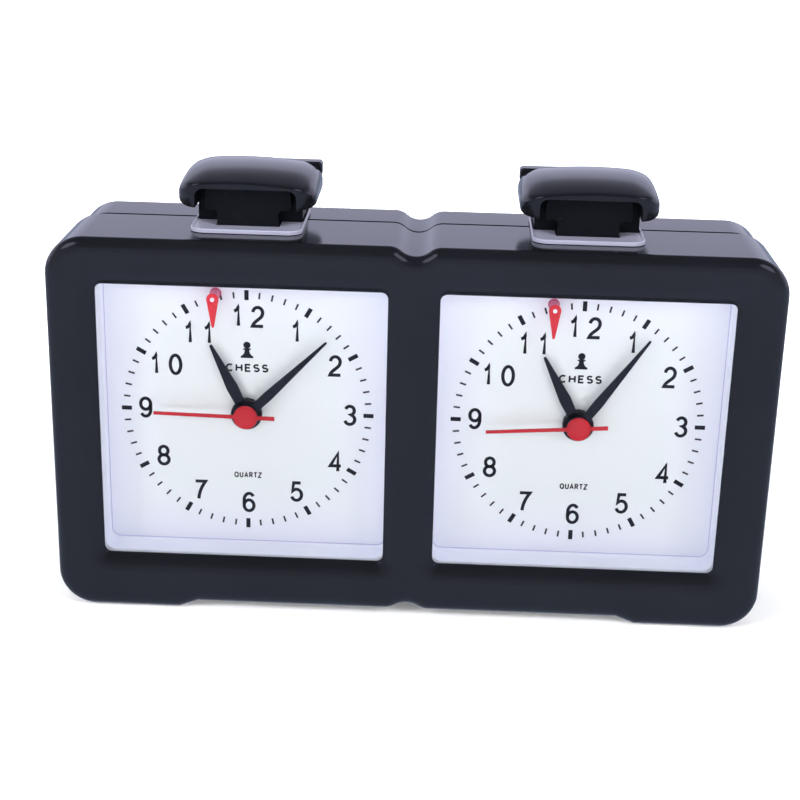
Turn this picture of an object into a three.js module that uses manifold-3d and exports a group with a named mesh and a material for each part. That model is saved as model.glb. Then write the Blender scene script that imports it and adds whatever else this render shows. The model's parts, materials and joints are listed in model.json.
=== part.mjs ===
// An analogue chess clock: two quartz clocks side by side in one case, with a button over each.
// Pressing a button lifts the other through a rocking lever, which holds one clock's rotor still.
// Millimetres, +Z up. The group's origin is under the middle of the case, on the table.
// Inside the group y = 0 is the front face of the dials, and y grows towards the back.
import * as THREE from "three";
import { mergeVertices } from "three/addons/utils/BufferGeometryUtils.js";
import Module from "manifold-3d";

const wasm = await Module();
wasm.setup();

// ---- Case ----
const CASE_WIDTH = 190;
const CASE_TOP = 103.2;
const CASE_FRONT = -14;
const CASE_SEAM = 14.8;
const CASE_BACK = 32.4;
const CORNER_RADIUS = 10;
const FRONT_EDGE_RADIUS = 3.6;
const BACK_EDGE_RADIUS = 3;
const FRONT_THICK = 3.4;
const BACK_THICK = 2.4;
const WALL = 2.6;
const BACK_INSET = 0.2; // the rear half is this much smaller all round,
const BACK_NARROW = 0.988; // and a little narrower still
const SEAM_GAP = 0.2;
const DEPTH_MIDDLE = 10.2; // y of the middle of the depth, knobs included

// Two wide shallow feet, and a notch in the middle of the top and of the underside.
const FOOT_DROP = 1.9;
const FOOT_START = 62;
const FOOT_RAMP = 5;
const TOP_NOTCH = { half: 6.8, depth: 2.5 };
const UNDER_NOTCH = { half: 6, depth: 1.7 };

// ---- One clock: everything here repeats at CLOCK_X left and right ----
const CLOCK_X = 44.5;
const DIAL_Z = 53.2;
const WINDOW_HALF = 37.8;
const WINDOW_RADIUS = 1.8;
const WINDOW_SLOPE = { width: 4, land: 0.6 }; // the frame slopes down to a short straight edge
const LENS = { half: 40, front: -10.45, back: -8.95 };
const SURROUND = { half: 40.8, front: -8.8, back: -0.15, innerFront: 37.9, innerBack: 39.0 };
const DIAL_THICK = 1;
// Walls of the front half round the dial.
const SOCKET = { inner: 41.1, innerRadius: 3, outer: 42.3, outerRadius: 4 };
const PLATE_RADIUS = 3; // corners of the dial, its surround and the lens
const SURROUND_RADIUS = 2.5; // inside corners
const OVERLAP = 0.5; // how far joined solids reach into each other

// ---- Buttons ----
const BUTTON_X = 44.3;
const BUTTON_TRAVEL = 3.5;
const CAP = {
  half: 18,
  front: -3,
  back: 28,
  bottom: 109.5,
  endTop: 113.2,
  crown: 117.9,
  frontTop: 115.9,
  chamfer: 1,
  backFall: 1.2,
};
const CAP_PLAN_RADIUS = 7;
const WING = { inner: 26.9, outer: 52, front: 24, back: 30, bottom: 112.9, top: 116.7, radius: 1.5 };
const NECK = { half: 13.8, front: 8.4, back: 24, bottom: 99.5 };
const TAB = { half: 8, front: 2.3 };
const STEM = { half: 4, front: 9.5, back: 16.5, bottom: 94.25 };
const SLOT_GAP = 0.35;
const SLOT_LOW = 97; // below the inside of the case's top
const COLLAR = {
  half: 14.6,
  front: -3.8,
  back: 27,
  bottom: 103.35,
  top: 104.1,
  rimTop: 104.4,
  rim: 0.8,
  radius: 4,
};

// ---- Rocking lever and stop levers ----
const PIVOT_Z = 90;
const ROCKER = { front: 9.5, back: 16.5, half: 46, thick: 3.6, hub: 4 };
const ROCKER_PAD = { r: 2.6, rise: 1.5 };
const ROCKER_PIN = { r: 1.5, front: 1.5, back: 26.3 };
const BEARING_GAP = 0.08;
const PEG = { x: 26, r: 1, back: 21.2 };
const PIN_BOSS = { r: 3.4, frontEnd: 8, backStart: 20 };
const STOP = { x: 42.5, front: 19.4, back: 20.4, hub: 2.6, hubBack: 22, post: 1.2, arm: 1.2, fork: 2 };
const FORK_SLOT = { half: 3.4, past: 2.2, gap: 0.3 }; // the fork ends a little past the peg
const BRAKE_PAD = { r: 0.8, front: 14.2 };
const PAD_SLOT_GAP = 0.8; // between the pad and its slot in the movement's cover
const PAD_SLOT_RADIUS = 0.5;
const PAD_REACH_GAP = 0.15; // left between pad and rotor when the lever holds the clock
// The lever turns this many times faster than the rocking lever, the other way.
const STOP_RATIO = PEG.x / (STOP.x - PEG.x);
const ROCK_ANGLE = BUTTON_TRAVEL / BUTTON_X;

// ---- Hands, counted outwards from the dial; angles are clockwise from twelve ----
const BELLY_AT = 8.5; // where a blade is widest
const HOUR_HAND = {
  length: 21.6,
  wide: 2.6,
  belly: 3.2,
  tip: 0.9,
  hub: 4.2,
  bore: 1.92,
  front: -2.6,
  back: -2,
};
const MINUTE_HAND = {
  length: 30.4,
  wide: 2.4,
  belly: 2.7,
  tip: 0.7,
  hub: 3.2,
  bore: 1.2,
  front: -3.7,
  back: -3.2,
};
const SECOND_HAND = { length: 24.7, tail: 7.8, wide: 0.95, tip: 0.7, front: -4.75, back: -4.25 };
const SECOND_CAP = { r: 3.25, front: -5.4, boreEnd: 0.2 };
const SHOWN = {
  left: { hour: 334, minute: 45, second: 271 },
  right: { hour: 332.5, minute: 35, second: 266 },
};

// ---- Flag ----
const FLAG = { x: -8.15, z: 33, length: 7.7, head: 1.6, tip: 0.35, bore: 0.55, front: -6.2, back: -5.6 };
const FLAG_POST = { r: 1.15, pin: 0.45, cap: 0.7, front: -6.7, gap: 0.12 };
const FLAG_BOSS = { r: 1.6, front: -0.5 };

// ---- Movement: x and z here count from the dial's centre ----
const CAGE = { left: -26, right: 26, low: -16, high: 28, front: 1.3, plate: 1.5, back: 17, wall: 1.2 };
const LID = { front: 17.15, back: 18.6 };
const NOSE = { outer: 2.9, inner: 1.98, front: -1.9 };
const NUT = { inner: 3, outer: 4.15, front: -1.25, back: -0.15, flutes: 16, flute: 0.12 };
const ARBOR_R = 0.45;
const LAYSHAFT_R = 0.5;
const KNOB_SHAFT_R = 0.7;
const CANNON = { inner: 0.55, outer: 1.1 };
const HOUR_TUBE = { inner: 1.2, outer: 1.85 };
const WHEEL_THICK = 1;
const ARBOR_FRONT = 2; // blind end of an arbor, in the movement's base
const CAGE_RADIUS = 2;
const LEVEL = { hour: 3.2, motion: 4.7, centre: 6.2, third: 7.7, second: 9.2, intermediate: 10.7 };
const ARBOR_BACK = 17.9;
const MAGNET = { r: 1.8, front: 12.3, back: 16.2 };
const STATOR = { left: -10, right: 7, low: 11, high: 25, front: 12.6, back: 13.4, hole: 2.3, radius: 1.5 };
const COIL = { r: 3, winding: 2.5, left: -9, right: 6, y: 13.7, z: 22.7, cheek: 0.8 };

// Gear pairs: module and teeth, with each pair's centre distance worked out from them.
const ADDENDUM = 0.72;
const DEDENDUM = 1.2;
const PAIRS = {
  rotor: { module: 0.4, pinion: 6, wheel: 30 },
  intermediate: { module: 0.4, pinion: 6, wheel: 36 },
  second: { module: 0.32, pinion: 6, wheel: 45 },
  third: { module: 0.32 * (51 / 54), pinion: 6, wheel: 48 },
  cannon: { module: 0.42, pinion: 10, wheel: 30 },
  motion: { module: 0.42, pinion: 8, wheel: 32 },
};
const MOTION_DIRECTION = THREE.MathUtils.degToRad(-30);
const THIRD_DIRECTION = THREE.MathUtils.degToRad(170);
const INTERMEDIATE_DIRECTION = THREE.MathUtils.degToRad(75);
const ROTOR_DIRECTION = THREE.MathUtils.degToRad(120); // seen from the intermediate wheel

// ---- Setting knob, battery and screws ----
const KNOB = { r: 8, front: 29.6, back: 34.4, gap: 0.6, flutes: 18, flute: 0.35, bore: 0.8, boreEnd: 31.4 };
const KNOB_DISH = { rim: 2, depth: 1.2, gripHalf: 0.9, gripTop: 0.2 };
const BAY = { half: 28.3, low: 7, high: 23.2, front: 13.6, wall: 1.3 };
const DOOR = { gap: 0.3, front: 30.5, back: 32.2, radius: 1.5 };
const DOOR_RIB = { count: 5, pitch: 1.6, half: 0.4, rise: 0.2, margin: 4 };
const BATTERY = { r: 7.25, length: 50.5, nub: 2.75, nubLength: 1, edge: 0.4, nubEdge: 0.2, y: 22.4, z: 14.9 };
const CONTACT = { half: 5, thick: 0.5, gap: 0.25, wallGap: 0.2, dimple: 2 };
const SPRING = { wire: 0.35, outer: 3.6, inner: 1.8, turns: 2 };
const SCREW = { x: 88.5, z: 11, shank: 1.2, head: 2.6, headFront: 24.4, headBack: 26.4, front: 2 };
const SCREW_CROSS = { half: 0.35, reach: 1.5, depth: 1 };
const SCREW_BOSS = { front: 3, back: 4.2, pilot: 1.35, through: 1.6, counterbore: 2.9 };
const HOOK = { x: 76, half: 4, low: 98.1, high: 100.2, front: 9 };

// ---- Shapes: each helper returns a solid that can be joined and cut ----

function solid(geometry) {
  geometry.deleteAttribute("normal");
  geometry.deleteAttribute("uv");
  const merged = mergeVertices(geometry, 1e-4);
  const mesh = new wasm.Mesh({
    numProp: 3,
    vertProperties: merged.attributes.position.array,
    triVerts: new Uint32Array(merged.index.array),
  });
  return new wasm.Manifold(mesh);
}

function join(...solids) {
  return solids.reduce((whole, next) => whole.add(next));
}

function cut(whole, ...tools) {
  return tools.reduce((left, tool) => left.subtract(tool), whole);
}

function box(x0, x1, y0, y1, z0, z1) {
  const geometry = new THREE.BoxGeometry(x1 - x0, y1 - y0, z1 - z0);
  geometry.translate((x0 + x1) / 2, (y0 + y1) / 2, (z0 + z1) / 2);
  return solid(geometry);
}

// An outline in x and z, solid from y0 to y1.
function slab(shape, y0, y1, curveSegments = 4) {
  const geometry = new THREE.ExtrudeGeometry(shape, { depth: y1 - y0, bevelEnabled: false, curveSegments });
  geometry.rotateX(Math.PI / 2);
  geometry.translate(0, y1, 0);
  return solid(geometry);
}

// An outline in x and y, solid from z0 to z1.
function upright(shape, z0, z1, curveSegments = 4) {
  const geometry = new THREE.ExtrudeGeometry(shape, { depth: z1 - z0, bevelEnabled: false, curveSegments });
  geometry.translate(0, 0, z0);
  return solid(geometry);
}

// An outline in y and z, solid from x0 to x1.
function crosswise(shape, x0, x1, curveSegments = 4) {
  const geometry = new THREE.ExtrudeGeometry(shape, { depth: x1 - x0, bevelEnabled: false, curveSegments });
  geometry.rotateY(Math.PI / 2);
  geometry.rotateX(Math.PI / 2);
  geometry.translate(x0, 0, 0);
  return solid(geometry);
}

function circle(radius, x = 0, z = 0) {
  const path = new THREE.Shape();
  path.absarc(x, z, radius, 0, 2 * Math.PI);
  return path;
}

// A round bar along y; segments is the number of its sides divided by two.
function bar(radius, y0, y1, x = 0, z = 0, segments = 7) {
  return slab(circle(radius, x, z), y0, y1, segments);
}

function roundedRectangle(left, right, low, high, radius) {
  const shape = new THREE.Shape();
  shape.moveTo(left + radius, low);
  shape.lineTo(right - radius, low);
  shape.absarc(right - radius, low + radius, radius, -Math.PI / 2, 0);
  shape.lineTo(right, high - radius);
  shape.absarc(right - radius, high - radius, radius, 0, Math.PI / 2);
  shape.lineTo(left + radius, high);
  shape.absarc(left + radius, high - radius, radius, Math.PI / 2, Math.PI);
  shape.lineTo(left, low + radius);
  shape.absarc(left + radius, low + radius, radius, Math.PI, 1.5 * Math.PI);
  return shape;
}

function square(half, radius, x = 0, z = 0) {
  return roundedRectangle(x - half, x + half, z - half, z + half, radius);
}

function withHoles(shape, ...holes) {
  shape.holes.push(...holes);
  return shape;
}

// ---- Materials ----

function finish(color, roughness, metalness) {
  return new THREE.MeshStandardMaterial({ color, roughness, metalness });
}

const MATERIAL = {
  caseBlack: finish(0x14151a, 0.35, 0),
  glossBlack: finish(0x0e0f13, 0.12, 0),
  collarGrey: finish(0x9a9ab0, 0.3, 0.2),
  clear: new THREE.MeshStandardMaterial({
    color: 0xffffff,
    roughness: 0.05,
    metalness: 0,
    transparent: true,
    opacity: 0.15,
  }),
  white: finish(0xe9e9f4, 0.5, 0),
  handBlack: finish(0x101014, 0.4, 0.1),
  red: finish(0xc8202c, 0.4, 0),
  plasticGrey: finish(0x4a4b50, 0.5, 0),
  plasticPale: finish(0xd8d4c8, 0.5, 0),
  brass: finish(0xc7a04a, 0.35, 1),
  steel: finish(0xb9bcc2, 0.3, 1),
  copper: finish(0xb4673a, 0.35, 0.9),
  magnet: finish(0x35363a, 0.45, 0.8),
  batteryJacket: finish(0x3b5f8a, 0.35, 0.4),
};

// A named mesh made from a joined and cut solid.
function piece(name, made, material) {
  const mesh = made.getMesh();
  const geometry = new THREE.BufferGeometry();
  geometry.setAttribute("position", new THREE.BufferAttribute(new Float32Array(mesh.vertProperties), 3));
  geometry.setIndex(new THREE.BufferAttribute(new Uint32Array(mesh.triVerts), 1));
  const flat = geometry.toNonIndexed();
  flat.computeVertexNormals();
  const out = new THREE.Mesh(flat, material);
  out.name = name;
  return out;
}

// ---- Case ----

// One shallow S-shaped dip, from its right shoulder to its left one; depth is positive downwards.
function addTopNotch(shape, top) {
  const { half, depth } = TOP_NOTCH;
  shape.lineTo(half, top);
  shape.bezierCurveTo(half * 0.45, top, half * 0.5, top - depth, 0, top - depth);
  shape.bezierCurveTo(-half * 0.5, top - depth, -half * 0.45, top, -half, top);
}

function addUnderNotch(shape, under) {
  const { half, depth } = UNDER_NOTCH;
  shape.lineTo(-half, under);
  shape.bezierCurveTo(-half * 0.45, under, -half * 0.5, under + depth, 0, under + depth);
  shape.bezierCurveTo(half * 0.5, under + depth, half * 0.45, under, half, under);
}

// The case seen from the front, moved inwards by inset all round.
function caseOutline(inset) {
  const side = CASE_WIDTH / 2 - inset;
  const top = CASE_TOP - inset;
  const radius = CORNER_RADIUS - inset;
  const ramp = FOOT_START - FOOT_RAMP;
  const shape = new THREE.Shape();
  shape.moveTo(-side + radius, inset);
  shape.lineTo(-FOOT_START, inset);
  shape.lineTo(-ramp, FOOT_DROP + inset);
  addUnderNotch(shape, FOOT_DROP + inset);
  shape.lineTo(ramp, FOOT_DROP + inset);
  shape.lineTo(FOOT_START, inset);
  shape.lineTo(side - radius, inset);
  shape.absarc(side - radius, inset + radius, radius, -Math.PI / 2, 0);
  shape.lineTo(side, top - radius);
  shape.absarc(side - radius, top - radius, radius, 0, Math.PI / 2);
  addTopNotch(shape, top);
  shape.lineTo(-side + radius, top);
  shape.absarc(-side + radius, top - radius, radius, Math.PI / 2, Math.PI);
  shape.lineTo(-side, inset + radius);
  shape.absarc(-side + radius, inset + radius, radius, Math.PI, 1.5 * Math.PI);
  return shape;
}

// From low to high across, and from a face at y0, whose two edges are rounded, to a flat end at y1.
function edgeRounded(low, high, y0, y1, radius) {
  const towards = Math.sign(y1 - y0);
  const centre = y0 + towards * radius;
  const faceAngle = (-towards * Math.PI) / 2;
  const clockwise = towards < 0;
  const shape = new THREE.Shape();
  shape.moveTo(low, y1);
  shape.lineTo(low, centre);
  shape.absarc(low + radius, centre, radius, Math.PI, faceAngle, clockwise);
  shape.lineTo(high - radius, y0);
  shape.absarc(high - radius, centre, radius, faceAngle, 0, clockwise);
  shape.lineTo(high, y1);
  return shape;
}

// Half of the case, solid, with the edges of its face rounded.
function caseBlock(inset, face, seam, radius) {
  const side = CASE_WIDTH / 2 - inset;
  const block = slab(caseOutline(inset), Math.min(face, seam), Math.max(face, seam), 3);
  const sides = upright(edgeRounded(-side, side, face, seam, radius), -1, CASE_TOP + 1, 2);
  const profile = edgeRounded(inset, CASE_TOP - inset, face, seam, radius).extractPoints(2).shape;
  // edgeRounded gives (across, y), and crosswise wants (y, across).
  const turned = new THREE.Shape(profile.map((p) => new THREE.Vector2(p.y, p.x)));
  const ends = crosswise(turned, -side - 1, side + 1);
  return block.intersect(sides).intersect(ends);
}

// The T-shaped hole that a button's neck slides in.
function neckHole(x, low, high, gap) {
  const wide = box(x - NECK.half - gap, x + NECK.half + gap, NECK.front - gap, NECK.back + gap, low, high);
  const narrow = box(x - TAB.half - gap, x + TAB.half + gap, TAB.front - gap, NECK.back, low, high);
  return wide.add(narrow);
}

function socket(x) {
  const { inner, innerRadius, outer, outerRadius } = SOCKET;
  const ring = withHoles(square(outer, outerRadius, x, DIAL_Z), square(inner, innerRadius, x, DIAL_Z));
  return slab(ring, CASE_FRONT + FRONT_THICK - OVERLAP, DIAL_THICK, 1);
}

// A square bar along y about the y axis, whose half width goes from frontHalf at y0 to backHalf at y1.
function funnel(frontHalf, backHalf, radius, y0, y1) {
  const geometry = new THREE.ExtrudeGeometry(square(backHalf, radius), {
    depth: y1 - y0,
    bevelEnabled: false,
    curveSegments: 2,
  });
  geometry.rotateX(Math.PI / 2);
  geometry.translate(0, y1, 0);
  const points = geometry.getAttribute("position");
  for (let i = 0; i < points.count; i++) {
    const scale = points.getY(i) < (y0 + y1) / 2 ? frontHalf / backHalf : 1;
    points.setX(i, points.getX(i) * scale);
    points.setZ(i, points.getZ(i) * scale);
  }
  return solid(geometry);
}

// A window opening, with the sloping frame round it.
function windowOpening(x) {
  const inside = CASE_FRONT + FRONT_THICK;
  const straight = slab(square(WINDOW_HALF, WINDOW_RADIUS), CASE_FRONT, inside + 1, 2);
  const edge = inside - WINDOW_SLOPE.land;
  const slope = funnel(WINDOW_HALF + WINDOW_SLOPE.width, WINDOW_HALF, WINDOW_RADIUS, CASE_FRONT, edge);
  return join(straight, slope).translate(x, 0, DIAL_Z);
}

function frontCase() {
  const seam = CASE_SEAM - SEAM_GAP / 2;
  const inside = CASE_FRONT + FRONT_THICK;
  let body = caseBlock(0, CASE_FRONT, seam, FRONT_EDGE_RADIUS);
  body = cut(body, slab(caseOutline(WALL), inside, seam + 1, 2));
  body = join(body, bar(PIN_BOSS.r, inside - 1, PIN_BOSS.frontEnd, 0, PIVOT_Z));
  for (const side of [-1, 1]) {
    const boss = bar(SCREW_BOSS.front, inside - 1, seam, side * SCREW.x, SCREW.z);
    const pilot = bar(SCREW_BOSS.pilot, 0, seam + 1, side * SCREW.x, SCREW.z, 5);
    body = cut(join(body, boss, socket(side * CLOCK_X)), pilot, windowOpening(side * CLOCK_X));
    body = cut(body, neckHole(side * BUTTON_X, SLOT_LOW, CASE_TOP + 1, SLOT_GAP));
  }
  return cut(body, bar(ROCKER_PIN.r + BEARING_GAP, 1, PIN_BOSS.frontEnd + 1, 0, PIVOT_Z));
}

function batteryBay(x) {
  const { half, low, high, front, wall } = BAY;
  return box(x - half - wall, x + half + wall, front - wall, CASE_BACK - 1, low - wall, high + wall);
}

function batteryHollow(x) {
  return box(x - BAY.half, x + BAY.half, BAY.front, CASE_BACK + 1, BAY.low, BAY.high);
}

function screwHole(x) {
  const through = bar(SCREW_BOSS.through, CASE_SEAM, CASE_BACK + 1, x, SCREW.z, 5);
  const head = bar(SCREW_BOSS.counterbore, SCREW.headFront - SEAM_GAP, CASE_BACK + 1, x, SCREW.z);
  return through.add(head);
}

// A tongue of the rear half that reaches under the top of the front half.
function hook(x) {
  const back = CASE_BACK - BACK_THICK;
  return box(x - HOOK.half, x + HOOK.half, HOOK.front, back, HOOK.low, HOOK.high);
}

function rearCase() {
  const seam = CASE_SEAM + SEAM_GAP / 2;
  const inside = CASE_BACK - BACK_THICK;
  let body = caseBlock(BACK_INSET, CASE_BACK, seam, BACK_EDGE_RADIUS).scale([BACK_NARROW, 1, 1]);
  body = cut(body, slab(caseOutline(WALL), seam - 1, inside, 2));
  body = join(body, bar(PIN_BOSS.r, PIN_BOSS.backStart, inside + 1, 0, PIVOT_Z));
  const pinEnd = ROCKER_PIN.back + OVERLAP;
  body = cut(body, bar(ROCKER_PIN.r + BEARING_GAP, PIN_BOSS.backStart - 1, pinEnd, 0, PIVOT_Z));
  for (const side of [-1, 1]) {
    body = join(body, hook(side * HOOK.x), batteryBay(side * CLOCK_X));
    body = join(body, bar(SCREW_BOSS.back, seam, inside + 1, side * SCREW.x, SCREW.z));
    body = join(body, bar(STOP.post, STOP.front - OVERLAP, inside + 1, side * STOP.x, PIVOT_Z, 8));
    body = cut(body, batteryHollow(side * CLOCK_X), screwHole(side * SCREW.x));
    const knobX = side * CLOCK_X + MOTION_AT.x;
    const knobZ = DIAL_Z + MOTION_AT.z;
    body = cut(body, bar(KNOB.r + KNOB.gap, inside - 1, CASE_BACK + 1, knobX, knobZ, 10));
    body = cut(body, neckHole(side * BUTTON_X, SLOT_LOW, CASE_TOP + 1, SLOT_GAP));
  }
  return body;
}

function caseScrew() {
  const shank = bar(SCREW.shank, SCREW.front, SCREW.headBack, 0, 0, 4);
  const head = bar(SCREW.head, SCREW.headFront, SCREW.headBack);
  const { half, reach, depth } = SCREW_CROSS;
  const [slotFront, slotBack] = [SCREW.headBack - depth, SCREW.headBack + 1];
  const level = box(-reach, reach, slotFront, slotBack, -half, half);
  const plumb = box(-half, half, slotFront, slotBack, -reach, reach);
  return cut(join(shank, head), level, plumb);
}

// ---- Buttons and their collars ----

// The cap seen from the front: upright ends under a low arch.
function capArch() {
  const { half, bottom, endTop, crown, chamfer } = CAP;
  const shoulder = { x: half - 1, z: crown - 1.6 }; // the arch leaves each end towards here
  const level = half - 7; // and comes level with the crown from here
  const shape = new THREE.Shape();
  shape.moveTo(-half + chamfer, bottom);
  shape.lineTo(half - chamfer, bottom);
  shape.lineTo(half, bottom + chamfer);
  shape.lineTo(half, endTop);
  shape.bezierCurveTo(shoulder.x, shoulder.z, level, crown, 0, crown);
  shape.bezierCurveTo(-level, crown, -shoulder.x, shoulder.z, -half, endTop);
  shape.lineTo(-half, bottom + chamfer);
  return shape;
}

// The cap seen from the side: the top falls towards the front edge.
function capSide() {
  const { front, back, bottom, crown, frontTop, chamfer, backFall } = CAP;
  const shape = new THREE.Shape();
  shape.moveTo(front + chamfer, bottom);
  shape.lineTo(back, bottom);
  shape.lineTo(back, crown - backFall);
  shape.quadraticCurveTo(back - 4, crown, back - 10, crown);
  shape.bezierCurveTo(front + 10, crown, front + 4, frontTop + 1, front + chamfer, frontTop);
  shape.lineTo(front, frontTop - chamfer);
  shape.lineTo(front, bottom + chamfer);
  return shape;
}

function button(side) {
  const { half, front, back, bottom, crown } = CAP;
  const plan = roundedRectangle(-half, half, front, back, CAP_PLAN_RADIUS);
  const arch = slab(capArch(), front, back, 6);
  const upAndDown = crosswise(capSide(), -half, half);
  const cap = arch.intersect(upAndDown).intersect(upright(plan, bottom - 1, crown + 1, 3));
  const ends = [WING.inner - BUTTON_X, WING.outer - BUTTON_X].map((x) => x * side);
  const [left, right] = [Math.min(...ends), Math.max(...ends)];
  const wingPlan = roundedRectangle(left, right, WING.front, WING.back, WING.radius);
  const wing = upright(wingPlan, WING.bottom, WING.top, 3);
  const neck = neckHole(0, NECK.bottom, CAP.bottom + 1, 0);
  const stem = box(-STEM.half, STEM.half, STEM.front, STEM.back, STEM.bottom, NECK.bottom + 1);
  return join(cap, wing, neck, stem);
}

function buttonCollar() {
  const { half, front, back, bottom, top, rimTop, rim, radius } = COLLAR;
  const outer = () => roundedRectangle(-half, half, front, back, radius);
  const inner = roundedRectangle(-half + rim, half - rim, front + rim, back - rim, radius - rim);
  const plate = upright(outer(), bottom, top, 2);
  const lip = upright(withHoles(outer(), inner), bottom, rimTop, 2);
  return cut(join(plate, lip), neckHole(0, bottom - 1, rimTop + 1, SLOT_GAP));
}

// ---- Rocking lever and stop levers ----

function rockerLever() {
  const { front, back, half, thick, hub } = ROCKER;
  let lever = box(-half, half, front, back, PIVOT_Z - thick / 2, PIVOT_Z + thick / 2);
  lever = lever.add(bar(hub, front, back, 0, PIVOT_Z));
  for (const side of [-1, 1]) {
    const pad = bar(ROCKER_PAD.r, front, back, side * BUTTON_X, PIVOT_Z + ROCKER_PAD.rise, 8);
    const peg = bar(PEG.r, back - 1, PEG.back, side * PEG.x, PIVOT_Z, 6);
    lever = join(lever, pad, peg);
  }
  return cut(lever, bar(ROCKER_PIN.r + BEARING_GAP, front - 1, back + 1, 0, PIVOT_Z, 9));
}

// How far the brake pad stands from the rotor's axis, at rest.
function padDistance() {
  const swing = (PIVOT_Z - DIAL_Z - ROTOR_AT.z) * ROCK_ANGLE * STOP_RATIO;
  return MAGNET.r + BRAKE_PAD.r + swing + PAD_REACH_GAP;
}

// One arm reaches in to the peg, and one hangs down to the rotor. side is -1 left, 1 right.
function stopLever(side) {
  const { x, front, back, hub, hubBack, arm, post, fork } = STOP;
  const pivotX = side * x;
  const pegX = side * PEG.x;
  const forkEnd = pegX - side * FORK_SLOT.past;
  const padX = side * CLOCK_X + ROTOR_AT.x - side * padDistance();
  const padZ = DIAL_Z + ROTOR_AT.z;
  const [left, right] = [Math.min(pivotX, forkEnd), Math.max(pivotX, forkEnd)];
  const across = box(left, right, front, back, PIVOT_Z - fork, PIVOT_Z + fork);
  const down = new THREE.Shape();
  down.moveTo(pivotX - arm, PIVOT_Z);
  down.lineTo(padX - arm, padZ);
  down.lineTo(padX + arm, padZ);
  down.lineTo(pivotX + arm, PIVOT_Z);
  const hanging = slab(down, front, back);
  const pad = bar(BRAKE_PAD.r, BRAKE_PAD.front, back, padX, padZ, 8);
  const foot = bar(arm, front, back, padX, padZ);
  const { half, gap } = FORK_SLOT;
  const [slotLow, slotHigh] = [PIVOT_Z - PEG.r - gap, PIVOT_Z + PEG.r + gap];
  const slot = box(pegX - half, pegX + half, front - 1, back + 1, slotLow, slotHigh);
  const lever = join(bar(hub, front, hubBack, pivotX, PIVOT_Z), across, hanging, pad, foot);
  return cut(lever, slot, bar(post + BEARING_GAP, front - 1, hubBack + 1, pivotX, PIVOT_Z, 8));
}

// ---- Dial, surround, lens and flag; x and z count from the dial's centre ----

function dial() {
  const blank = slab(square(SURROUND.half, PLATE_RADIUS), 0, DIAL_THICK, 2);
  const plate = cut(blank, bar(NOSE.outer + SLOT_GAP, -1, DIAL_THICK + 1));
  const { r, pin, cap, front, gap } = FLAG_POST;
  const post = bar(r, FLAG.back + gap, OVERLAP, FLAG.x, FLAG.z, 5);
  const thinEnd = bar(pin, front, OVERLAP, FLAG.x, FLAG.z, 4);
  const button = bar(cap, front, FLAG.front - gap, FLAG.x, FLAG.z, 5);
  const boss = bar(FLAG_BOSS.r, FLAG_BOSS.front, OVERLAP, FLAG.x, FLAG.z, 5);
  return join(plate, post, thinEnd, button, boss);
}

// A square tube that opens out a little towards the dial.
function dialSurround() {
  const { half, front, back, innerFront, innerBack } = SURROUND;
  const tube = slab(square(half, PLATE_RADIUS), front, back, 2);
  return cut(tube, funnel(innerFront, innerBack, SURROUND_RADIUS, front, back));
}

function lens() {
  return slab(square(LENS.half, PLATE_RADIUS), LENS.front, LENS.back, 2);
}

// A drop hanging from its round head.
function flag() {
  const { length, head, tip, bore, front, back, x, z } = FLAG;
  const shape = new THREE.Shape();
  const slope = Math.asin((head - tip) / (length - tip));
  shape.absarc(x, z, head, -slope, Math.PI + slope);
  shape.absarc(x, z - length + tip, tip, Math.PI + slope, 2 * Math.PI - slope);
  return slab(withHoles(shape, circle(bore, x, z)), front, back, 4);
}

// ---- Hands, pointing up ----

function hand({ length, wide, belly, tip, hub, bore, front, back }) {
  const shape = new THREE.Shape();
  shape.moveTo(-wide / 2, 0);
  shape.lineTo(wide / 2, 0);
  shape.lineTo(belly / 2, BELLY_AT);
  shape.lineTo(tip / 2, length);
  shape.lineTo(-tip / 2, length);
  shape.lineTo(-belly / 2, BELLY_AT);
  const blade = slab(shape, front, back);
  return cut(join(blade, bar(hub, front, back)), bar(bore, front - 1, back + 1, 0, 0, 6));
}

function secondHand() {
  const { length, tail, wide, tip, front, back } = SECOND_HAND;
  const shape = new THREE.Shape();
  shape.moveTo(-wide / 2, -tail);
  shape.lineTo(wide / 2, -tail);
  shape.lineTo(tip / 2, length);
  shape.lineTo(-tip / 2, length);
  const cap = bar(SECOND_CAP.r, SECOND_CAP.front, back);
  const bore = bar(ARBOR_R + BEARING_GAP, front - SECOND_CAP.boreEnd, back + 1, 0, 0, 4);
  return cut(join(slab(shape, front, back), cap), bore);
}

// ---- Gears ----

function distance({ module, pinion, wheel }) {
  return (module * (pinion + wheel)) / 2;
}

function offset(from, length, direction) {
  return { x: from.x + length * Math.cos(direction), z: from.z + length * Math.sin(direction) };
}

const CENTRE = { x: 0, z: 0 };
const MOTION_AT = offset(CENTRE, distance(PAIRS.cannon), MOTION_DIRECTION);
const THIRD_AT = offset(CENTRE, distance(PAIRS.second), THIRD_DIRECTION);
const INTERMEDIATE_AT = offset(CENTRE, distance(PAIRS.intermediate), INTERMEDIATE_DIRECTION);
const ROTOR_AT = offset(INTERMEDIATE_AT, distance(PAIRS.rotor), ROTOR_DIRECTION);

// Pointed teeth, one of them along direction.
function gearShape(teeth, module, at, direction, bore = 0) {
  const pitch = (teeth * module) / 2;
  const points = [];
  for (let i = 0; i < 2 * teeth; i++) {
    const angle = direction + (i * Math.PI) / teeth;
    const r = i % 2 ? pitch - DEDENDUM * module : pitch + ADDENDUM * module;
    points.push(new THREE.Vector2(at.x + r * Math.cos(angle), at.z + r * Math.sin(angle)));
  }
  const shape = new THREE.Shape(points);
  if (bore) shape.holes.push(circle(bore, at.x, at.z));
  return shape;
}

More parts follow.
